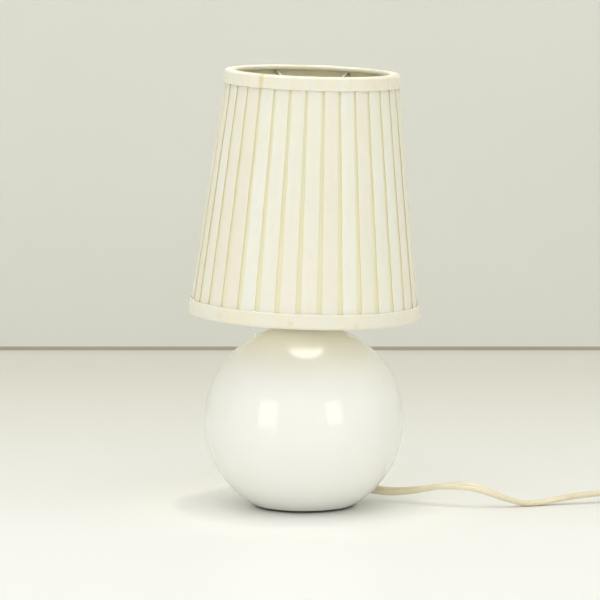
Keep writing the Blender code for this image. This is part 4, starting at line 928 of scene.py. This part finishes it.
def ball():
    """The glazed ball: an ellipse down to a rounded foot, and a low collar that leans with the holder."""
    collar, nipple, wall = NECK.outer + 0.3 * MM, span("threaded_nipple").outer, 5.0 * MM
    start = degrees(asin((FOOT_Z - BALL_CENTRE_Z) / BALL_HALF_HEIGHT)) + 1.0
    end = degrees(acos((collar + 1.6 * MM) / BALL_RADIUS))
    middle, hollow = (0, BALL_CENTRE_Z), BALL_RADIUS - wall
    side = arc(middle, BALL_RADIUS, start, end, 120, BALL_HALF_HEIGHT / BALL_RADIUS)
    rim = beside(side[0][0], FOOT_Z, (-11, 0), (-2.2, 0), (-1.0, 0.05), (-0.4, 0.25))
    shoulder = side[-1][1] - SEAT.z
    neck = beside(collar, shoulder, (0.6, 0.35), (0.1, 0.9))
    neck += beside(collar, 0, (0, -0.6), (-0.2, -0.2), (-0.7, -0.02))
    neck += [(0.5 * collar, 0.0), *beside(nipple, 0, (0.4, 0), (0.6, -4.5))]
    inner = arc(middle, hollow, degrees(acos(0.12)), start + 3, 40, (BALL_HALF_HEIGHT - wall) / hollow)
    segments = 176
    parts = [spun([*rim, *side], segments), moved(spun(neck, segments), UPPER), spun(inner, segments)]
    rings = np.concatenate(parts)
    for point in rings[len(rim) : len(rim) + len(side)].reshape(-1, 3):
        point[:2] *= 1 + 0.15 * MM / BALL_RADIUS * ripple(*point, 40 * MM)
    made = grid_piece("glazed_ball", rings, "glaze", "ceramic_base", loop=True, sharp=50)
    low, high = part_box("cord_bush")
    y, z = (low.y + high.y) / 2, (low.z + high.z) / 2
    hole = swept([(low.x - 4 * MM, y, z), (high.x + 6 * MM, y, z)], circle((high.z - low.z) / 2 + GAP, 40))
    cut(made, grid_mesh("cord_hole", hole, caps=True))
    shade_smooth(made.data)


def bush():
    """The sleeve in the cord hole, with a rolled lip outside the ball."""
    low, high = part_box("cord_bush")
    middle = np.array(((low.y + high.y) / 2, (low.z + high.z) / 2))
    outer = (high.z - low.z) / 2
    bore = (CORD_WIDTH / 2 + 0.25 * MM) / outer
    rings = []
    for step in range(13):
        ring = []
        for turn in around(48):
            y, z = middle[0] + outer * cos(turn), middle[1] + outer * sin(turn)
            depth = 1 - ((z - BALL_CENTRE_Z) / BALL_HALF_HEIGHT) ** 2 - (y / BALL_RADIUS) ** 2
            ring.append((low.x + (BALL_RADIUS * sqrt(depth) - low.x + 0.2 * MM) * step / 12, y, z))
        rings.append(ring)
    face = np.array(rings[-1])
    centre = face.mean(axis=0)
    for size, push in ((1.10, 0.10), (1.13, 0.35), (1.08, 0.6), (0.96, 0.7), (0.82, 0.62), (bore, 0.3)):
        ring = centre + (face - centre) * size
        ring[:, 0] = face[:, 0] + (face[:, 0] - centre[0]) * (size - 1) + push * MM
        rings.append(ring)
    inside = np.array(rings[0])
    inside[:, 1:] = middle + (inside[:, 1:] - middle) * bore
    grid_piece("cord_grommet", [*rings, inside], "rubber", "cord_bush", loop=True, sharp=50)


def felt():
    low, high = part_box("felt_pad")
    edge, top, middle = (high.x - low.x) / 2, high.z, 0.5 * MM
    profile = [(middle, 0), (0.5 * edge, 0), *beside(edge, 0, (-0.4, 0), (0, 0.35), (0, 0.85))]
    rings = spun([*profile, (edge - 0.3 * MM, top), (middle, top)], 128)
    for point in rings[2:-1].reshape(-1, 3):
        point[:2] *= 1 + 0.2 * MM / edge * ripple(*point, 1.5 * MM)
    grid_piece("felt_disc", rings, "felt", "felt_pad", caps=True, sharp=60)


def holder():
    """The lampholder: ribbed lower cap, smooth outer shell with a rolled mouth, and the small parts inside."""
    cap, shell = span("holder_base_cap"), span("holder_outer_shell")
    wall, foot = 1.6 * MM, 9.0 * MM
    floor, outside, waist = cap.low + wall / 2, cap.outer - wall / 2, (cap.low + cap.high) / 2
    bends = [(foot, floor), (cap.outer - wall, waist - 2.5 * MM), (outside, waist + MM), (outside, cap.high)]
    segments, ribs_round = 144, 36
    rings = spun(thickened([(cap.inner + 0.3 * MM, floor), *rounded_line(bends, 3 * MM, 8)], wall), segments)
    ribs = 1 - 0.022 * (0.5 + 0.5 * np.cos(ribs_round * around(segments)))
    for ring in rings:
        height, radius = ring[0, 2], hypot(*ring[0, :2])
        if waist + MM < height < cap.high - 1.5 * MM and radius > cap.outer - 0.3 * wall:
            ring[:, :2] *= ribs[:, None]
    leaned_piece("holder_cap", rings, "holder_plastic", "holder_base_cap", loop=True, sharp=50)
    mouth, outer, top = shell.inner, shell.outer, shell.high
    profile = [(outer, shell.low), (outer, top), (mouth, top), (mouth, top - wall), (outer - wall, top - wall)]
    profile = rounded_line([*profile, (outer - wall, shell.low)], 0.8 * MM, 5, closed=True)
    rings = spun(divided([*profile, profile[0]], 2 * MM)[:-1], segments)
    for ring in rings:
        height, radius = ring[0, 2], hypot(*ring[0, :2])
        if radius > outer - 0.1 * MM and shell.low + 2 * MM < height < shell.low + 3 * MM:
            ring[:, :2] *= 1 - 0.4 * MM / outer
    leaned_piece("holder_shell", rings, "holder_plastic", "holder_outer_shell", loop=True, sharp=50)
    for node, name, look in (
        ("holder_terminal_block", "terminal_block", "porcelain"),
        ("holder_lock_screw", "lock_screw", "steel"),
        ("holder_centre_contact", "centre_contact", "brass"),
        ("terminal_screw_live", "live_screw", "brass"),
        ("terminal_screw_neutral", "neutral_screw", "brass"),
        ("lock_nut", "neck_nut", "steel"),
        ("inner_washer", "neck_washer", "steel"),
    ):
        refined(node, name, look)


def threaded(radius, depth, pitch, low, high, segments):
    """Rings of a helical thread between two heights, run out at its ends."""
    rows = round((high - low) / pitch * RINGS_PER_PITCH)
    rings = []
    for height in (low + (high - low) * row / rows for row in range(rows + 1)):
        fade = min(1.0, (height - low) / (0.6 * pitch), (high - height) / (0.6 * pitch))
        waves = [0.5 - 0.5 * cos(ROUND * height / pitch - turn) for turn in around(segments)]
        rings.append([polar(radius - depth * w * fade, turn, height) for w, turn in zip(waves, around(segments))])
    return np.array(rings)


def neck_fittings():
    """Gasket, brass cap and threaded nipple between the ball and the holder."""
    cap, nipple = span("neck_cap"), span("threaded_nipple")
    disc_piece("gasket", "neck_gasket", "rubber", "base", 0.4 * MM, 5)
    top, edge = cap.high - 0.5 * MM, cap.outer - 0.4 * MM
    line = [(cap.inner + 0.2 * MM, top), (cap.outer - 1.2 * MM, top), (edge, cap.low + 0.3 * MM)]
    rings = spun(thickened(rounded_line(line, 0.8 * MM, 6), 0.8 * MM), 96)
    leaned_piece("neck_plate", rings, "brass", "neck_cap", loop=True)
    outside = threaded(nipple.outer, 0.35 * MM, MM, nipple.low, nipple.high, 48)
    inside = spun([(nipple.inner, nipple.high), (nipple.inner, nipple.low)], 48)
    leaned_piece("nipple", np.concatenate([outside, inside]), "steel", "threaded_nipple", loop=True)


def lead():
    """The lead inside the ball and its two cores keep their CAD shapes."""
    for node, look in (("inner_lead", "cord"), ("wire_live", "core_brown"), ("wire_neutral", "core_blue")):
        refined(node, f"{node}_cover", look, edge=0)


# --- Bulb ----------


def bulb():
    """The glass envelope with its hollow, and under it the screw cap, the insulator and the tip contact."""
    cap = span("bulb_screw_cap")
    wall, glass_wall, neck = 0.3 * MM, 0.6 * MM, 5.75 * MM
    shells = []
    for radius, throat in ((BULB_RADIUS, neck), (BULB_RADIUS - glass_wall, neck - glass_wall)):
        shoulder = arc((0, BULB_CENTRE), radius, 89, -52, 64)
        waist = [shoulder[-1], *beside(throat, cap.high, (1.9, 4.6), (0, 1.2)), (throat, BULB.low)]
        waist = smooth_route([(x, y, 0) for x, y in waist], MM)
        shells.append([*shoulder[:-1], *[(x, y) for x, y, _ in waist]])
    outside = spun([*shells[0][::-1], (TINY, BULB.high)], 96)
    hollow = spun([*shells[1][::-1], (TINY, BULB_CENTRE + BULB_RADIUS - glass_wall)], 96)[::-1]
    rings = np.concatenate([outside, hollow])
    leaned_piece("bulb_envelope", rings, "bulb_glass", "bulb_glass", loop=True, body="bulb", sharp=60)
    pitch, threads, depth, radius = 2.82 * MM, 4, 0.9 * MM, cap.outer
    start = cap.low + 0.8 * MM
    stop = start + threads * pitch
    foot = [(0.72 * radius, cap.low), (radius - 0.6 * MM, cap.low + 0.25 * MM)]
    skirt = beside(radius, stop, (-0.2, 0.4), (0, 0.9)) + beside(radius, cap.high, (0, -0.5), (0.15, 0))
    bore = radius - depth - wall
    inside = [(radius - wall, cap.high), (bore, stop), (bore, cap.low + 0.6 * MM)]
    inside.append((0.72 * radius - wall, cap.low + wall))
    segments = 72
    body = threaded(radius, depth, pitch, start, stop, segments)
    rings = np.concatenate([spun(foot, segments), body, spun(skirt, segments), spun(inside, segments)])
    leaned_piece("bulb_cap", rings, "bulb_cap", "bulb_screw_cap", loop=True, body="bulb", sharp=60)
    part, tip = span("bulb_insulator"), span("bulb_tip_contact")
    profile = [(0.3 * part.outer, part.low), *arc((0.55 * part.outer, part.low + MM), MM, -90, -20, 5)]
    profile += [(part.outer, part.high - 0.2 * MM), (part.outer - 0.3 * MM, part.high), (TINY, part.high)]
    more = {"body": "bulb", "caps": True}
    leaned_piece("bulb_insulator_ring", spun(profile), "core_brown", "bulb_insulator", slot="holder_plastic", **more)
    dome = arc((0, tip.low + tip.outer * 1.6), tip.outer * 1.6, -84, -52, 6)
    rings = spun([(TINY, tip.low), *dome, (tip.outer, tip.high)], 48)
    leaned_piece("bulb_tip", rings, "bulb_cap", "bulb_tip_contact", **more)
    bulb_inside(cap)


def bulb_inside(cap):
    """The glass stem with its flare and seal, two lead wires, two supports and a coiled filament."""
    stem = span("bulb_stem")
    top = stem.high
    flare = arc((stem.outer + 2 * MM, stem.low + 3 * MM), 3.4 * MM, 200, 180, 3)
    stalk = beside(0, cap.high, (1.9, 5), (1.5, 8)) + beside(0, top, (1.6, -3))
    profile = [(stem.outer, stem.low), *flare, *stalk, *arc((0, top - 1.6 * MM), 1.6 * MM, 20, 86, 6)]
    more = {"body": "bulb", "sharp": 60}
    leaned_piece("bulb_stem_glass", spun(profile, 48), "bulb_glass", "bulb_stem", caps=True, **more)
    filament = moved(corners("bulb_filament"), TO_UPPER)
    reach, level = filament[:, 0].max() - 0.4 * MM, filament[:, 2].max() - 0.5 * MM
    waves, turns, low = 6, 90, level - 0.4 * MM
    zigzag = [(reach * (2 * i / waves - 1), (0.7 if i % 2 else -0.7) * MM, low) for i in range(waves + 1)]
    coil = smooth_route(zigzag, 0.035 * MM)
    wound = np.linspace(0, ROUND * turns, len(coil))
    coil[:, 1] += 0.30 * MM * np.cos(wound)
    coil[:, 2] += 0.30 * MM * np.sin(wound)
    coil = smooth_route(coil[:: max(1, len(coil) // (turns * 9))], 0.14 * MM)
    parts = [wire_mesh("part", moved(coil, UPPER), 0.06 * MM, 5)]
    for side in (-1, 1):
        leg = [(0.9 * MM, 0, top - 2 * MM), (1.4 * MM, 0, top + MM), (0.75 * reach, 0, level - 6 * MM)]
        leg.append((reach, -0.7 * MM, low))
        support = [(0.4 * MM, 0.3 * MM, top - MM), (0.9 * MM, 0.5 * MM, top + 3 * MM)]
        support.append((0.33 * reach, 0.6 * MM, level - 0.9 * MM))
        for points, radius in ((leg, 0.22 * MM), (support, 0.14 * MM)):
            line = smooth_route([(side * x, y, z) for x, y, z in points], 0.8 * MM)
            parts.append(wire_mesh("part", moved(line, UPPER), radius, 8))
    mesh = joined("bulb_filament_coil", parts)
    piece("bulb_filament_coil", mesh, "filament", "bulb_filament", slot="steel", **more)


# --- Clip and shade ----------


def clip():
    """Two sprung wire loops that hug the bulb, under a plate with a swivel rivet."""
    wire = 0.8 * MM
    reach, height = BULB_RADIUS + GAP + wire, span("clip_plate").low - GAP - wire
    elevation, spread, opening = radians(42), radians(38), radians(12)
    centre = Vector((0, 0, BULB_CENTRE))
    for name, side in (("left", -1), ("right", 1)):
        middle = Vector((side * cos(elevation), 0, sin(elevation)))
        up = Vector((-side * sin(elevation), 0, cos(elevation)))
        points = [Vector((side * 4.4 * MM, 1.6 * MM, height))]
        for step in range(1, 24):
            turn = opening + (ROUND - 2 * opening) * step / 24
            rim = up * cos(turn) + Vector((0, 1, 0)) * sin(turn)
            points.append(centre + (middle * cos(spread) + rim * sin(spread)) * reach)
        points.append(Vector((side * 4.4 * MM, -1.6 * MM, height)))
        line = smooth_route(points, 0.9 * MM)
        away = line - np.array((0, 0, BULB_CENTRE))
        line += away * (np.maximum(reach / np.linalg.norm(away, axis=1), 1.0) - 1)[:, None]
        wire_piece(f"clip_wire_{name}", line, wire, "steel", f"clip_loop_{name}", "bulb_clip")
    disc_piece("clip_disc", "clip_plate", "steel", "bulb_clip", 0.35 * MM, 4)
    rings = spun(rivet_profile(span("clip_rivet")), 48)
    leaned_piece("clip_swivel", rings, "brass", "clip_rivet", caps=True, body="bulb_clip")


def rivet_profile(rivet):
    """A flat foot, a shank and a domed head."""
    head, shank, wide = 1.0 * MM, 1.6 * MM, rivet.outer
    domed = arc((0, rivet.high - head - 1.2 * MM), 3.4 * MM, 20, 88, 10, 0.65)
    lift = rivet.high - domed[-1][1]
    foot, neck = rivet.low + head, rivet.high - head
    profile = [(TINY, rivet.low), (0.8 * wide, rivet.low + 0.1 * MM), *beside(wide, rivet.low, (0, 0.4), (0, 0.8))]
    profile += [(0.9 * wide, foot), (shank, foot), (shank, neck), (0.95 * wide, neck)]
    return profile + [(min(x, wide), y + lift) for x, y in domed if y + lift > neck + 0.1 * MM]


def shade_wires():
    """The upper and lower rings, the hub and the four arms, which are welded under the upper ring."""
    radii = {}
    for node in ("top_ring", "bottom_ring"):
        place = span(node)
        wire, height = (place.high - place.low) / 2, (place.low + place.high) / 2
        radii[node] = (place.inner + place.outer) / 2
        line = [polar(radii[node], turn, height) for turn in around(160)]
        wire_piece(f"{node}_wire", line, wire, "shade_wire", node, "shade", closed=True)
    disc_piece("hub_disc", "hub_plate", "shade_wire", "shade", 0.35 * MM, 4)
    arm, hub, radius = 1.0 * MM, span("hub_plate").outer, radii["top_ring"]
    for number in range(1, 5):
        points = moved(corners(f"spider_arm_{number}"), TO_UPPER)
        azimuth = atan2(points[:, 1].mean(), points[:, 0].mean())
        inner, outer = points[:, 2].min() + arm, points[:, 2].max() - arm
        run = beside(0, inner, (4, 0)) + beside(hub, inner, (-1.5, 0), (2.5, 1.2), (7, 5.6))
        run += beside(radius, outer, (-11, -5.5), (-5, -0.9), (-1.5, 0), (0.6, 0))
        line = smooth_route([polar(r, azimuth, h) for r, h in run], 1.6 * MM)
        wire_piece(f"arm_{number}", line, arm, "shade_wire", f"spider_arm_{number}", "shade")


def lining():
    """Stiff laminate inside the shade: one sheet, rolled up with a lapped join at the back."""
    inset = shade_radius(LINING.low) - LINING.outer + 0.1 * MM
    columns, rows, tall = 250, 24, LINING.high - LINING.low
    join, lap = radians(97), radians(9)
    rings = []
    for row in range(rows + 1):
        height = LINING.low + tall * row / rows
        ring = []
        for column in range(columns + 1):
            turn = join + (ROUND + lap) * column / columns
            radius = shade_radius(height, inset) - 0.3 * MM * column / columns
            radius += 0.05 * MM * ripple(*polar(3, turn, height * 20))
            ring.append(polar(radius, turn, height))
        rings.append(ring)
    made = leaned_piece("lining_sheet", rings, "lining", "shade_lining", wrap=False, body="shade", sharp=50)
    rings = ["top_ring_wire", "bottom_ring_wire"]


def pleat_section(pitch, gap, back):
    """One box pleat from the middle of a gap to the middle of the next, as (across, depth, fold, edge) points: the
    cloth runs under the pleat, turns back, turns over the pleat's edge and crosses its face."""
    quarter, half = PLEAT_DEPTH / 4, (pitch - gap) / 2
    turns = [radians(a) for a in (30, 75, 120, 165)]
    left = [(x, 4 * quarter, 1.0, 0.0) for x in (-pitch / 2, -half + 0.1 * back, -half + back)]
    for a in turns:
        left.append((-half + back + quarter * sin(a), 3 * quarter + quarter * cos(a), 1.0, 0.0))
    left += [(-half + 0.5 * back, 2 * quarter, 0.8, 0.0), (-half + 0.2 * back, 2 * quarter, 0.6, 0.0)]
    for a in turns:
        across, depth = -half + quarter - quarter * sin(a), quarter + quarter * cos(a)
        left.append((across, depth, 0.5 - 0.4 * a / pi, 1.0))
    face = []
    for share in (-0.86, -0.6, -0.3, 0.0, 0.3, 0.6, 0.86):
        depth, edge = -0.10 * MM * (1 - share * share), max(0.0, abs(share) - 0.6) * 2
        face.append((share * (half - quarter), depth, 0.0, edge))
    right = [(-x, depth, fold, edge) for x, depth, fold, edge in reversed(left[1:])]
    return [*left, *face, *right]


def edge_drift(drift, pleat, side, share, height):
    """How far a pleat's left or right edge, side -1 or 1, strays from its place."""
    base, lean = drift[(pleat + (side > 0)) % PLEATS]
    wave = ripple(pleat * 3.1 + side, height * 40, 0.0)
    return (base + lean * (share - 0.5) + 0.5 * wave) * MM / 2


def cover():
    """The pleated cloth, as one strip folded into box pleats whose gaps open towards the bottom."""
    random.seed(34)
    inset = shade_radius(COVER.low) - COVER.outer + 0.05 * MM
    drift = [(random.uniform(-0.35, 0.35), random.uniform(-0.55, 0.55)) for _ in range(PLEATS)]
    tone = [random.random() for _ in range(PLEATS)]
    step, tall = ROUND / PLEATS, COVER.high - COVER.low
    rings, marks = [], []
    for row in range(COVER_ROWS + 1):
        share = row / COVER_ROWS
        height = COVER.low + tall * share
        face = shade_radius(height, inset)
        pitch = face * step
        gap = GAP_AT_BOTTOM + (GAP_AT_TOP - GAP_AT_BOTTOM) * share
        section = pleat_section(pitch, gap, (PLEAT_CLOTH - pitch) / 4)
        hold = min(1.0, 8 * min(share, 1 - share) + 0.35)
        ring = []
        for pleat in range(PLEATS):
            middle = GROOVE_AZIMUTH + step * (pleat + 0.5)
            left, right = (edge_drift(drift, pleat, side, share, height) for side in (-1, 1))
            puff = 0.12 * MM * ripple(pleat * 5.7, height * 55, 2.0) * hold
            creased = pleat == CREASED_PLEAT and 0.15 < share < 0.42
            for across, depth, fold, edge in section:
                if across <= -pitch / 2:  # the middle of the gap, between this pleat and the one before it
                    strays = 0.5 * (left + edge_drift(drift, pleat - 1, 1, share, height))
                else:
                    strays = left + (right - left) * (across / pitch + 0.5)
                if fold == 0:
                    depth -= puff
                    if creased:
                        depth += 0.3 * MM * exp(-((across - (pitch - gap) / 2 + 2 * MM) ** 2) / (0.5 * MM) ** 2)
                ring.append(polar(face - depth, middle + (across + strays) / face, height))
                if row == 0:
                    marks.append((fold, edge, tone[pleat]))
        rings.append(ring)
    mesh = grid_mesh("pleated_cloth", moved(rings, UPPER))
    for name, values in zip(("fold", "edge", "panel"), zip(*marks)):
        layer = mesh.attributes.new(name, "FLOAT", "POINT")
        layer.data.foreach_set("value", np.tile(values, COVER_ROWS + 1).astype(np.float32))
    made = piece("pleated_cloth", mesh, "pleated_fabric", "pleated_cover", "shade", sharp=70)


def band_line(edge, leg, back):
    """The middle of the band's cloth in section, as (inset, height): down the outside, round the edge, up inside."""
    cloth, inside = BAND_CLOTH / 2, BAND_REACH - BAND_CLOTH / 2
    turn = edge + copysign(cloth, leg)
    bends = [(cloth, edge + leg), (cloth, turn), (inside, turn), (inside, edge + back)]
    return divided(rounded_line(bends, 1.3 * MM, 7), 1.1 * MM)


def apart(angle, other):
    """The signed way round the shade from one azimuth to another."""
    return (angle - other + pi) % ROUND - pi


def band(name, node, edge, leg, back, join=None, gathers=None):
    """A strip of tape folded over an edge of the shade. It follows the pleats under it, and its free edge wanders."""
    flat_line = band_line(edge, leg, back)
    outline = thickened(flat_line, BAND_CLOTH)[::-1]
    columns = PLEATS * 12
    rings = np.empty((len(outline), columns, 3))
    joins = np.zeros((len(outline), columns), np.float32)
    for column, turn in enumerate(around(columns)):
        rib = 0.5 + 0.5 * cos(PLEATS * (turn - GROOVE_AZIMUTH))
        wander = 0.30 * MM * ripple(*polar(9, turn, edge * 90))
        lap = pinch = 0.0
        if join is not None:
            lap = min(1.0, max(0.0, (1.7 * MM - abs(apart(turn, join)) * shade_radius(edge)) / (0.5 * MM)))
        if gathers is not None:
            middle, reach, count = gathers
            away = apart(turn, middle) / reach
            pinch = max(0.0, 1 - away * away) * sin(count * pi * away) if abs(away) < 1 else 0.0
        for row, (inset, height) in enumerate(outline):
            x, y, _ = polar(14, turn)
            puff = 0.30 * MM * ripple(x, y, 5 + height * 70) + 0.16 * MM * ripple(3.1 * x, 3.1 * y, height * 150)
            radius, free = shade_radius(height, inset), (height - edge) / leg
            if inset < BAND_REACH / 2:
                radius += -0.16 * MM * rib * min(1.0, 2 * free) + puff + 0.45 * MM * lap + 0.28 * MM * pinch
                height = height + wander * free
                joins[row, column] = max(lap, 0.4 * pinch)
            else:
                radius += puff * 0.5
            rings[row, column] = polar(radius, turn, height)
    mesh = grid_mesh(name, moved(rings, UPPER), loop=True)
    mesh.attributes.new("join", "FLOAT", "POINT").data.foreach_set("value", joins.ravel())
    made = piece(name, mesh, "band_fabric", node, "shade", sharp=60)


def bands():
    band("lower_band", "bottom_band", SHADE_LOW.low, SHADE_LOW.high - SHADE_LOW.low, 6 * MM)
    leg = 0.88 * (SHADE_HIGH.low - SHADE_HIGH.high)
    band("upper_band", "top_band", SHADE_HIGH.high, leg, -2.6 * MM, JOIN_AZIMUTH, GATHERS)


camera()
lights()
stage()
cord_and_fittings()
ball()
bush()
felt()
neck_fittings()
holder()
lead()
bulb()
clip()
shade_wires()
lining()
cover()
bands()
restyled("holder_screw_shell", "bulb_cap")
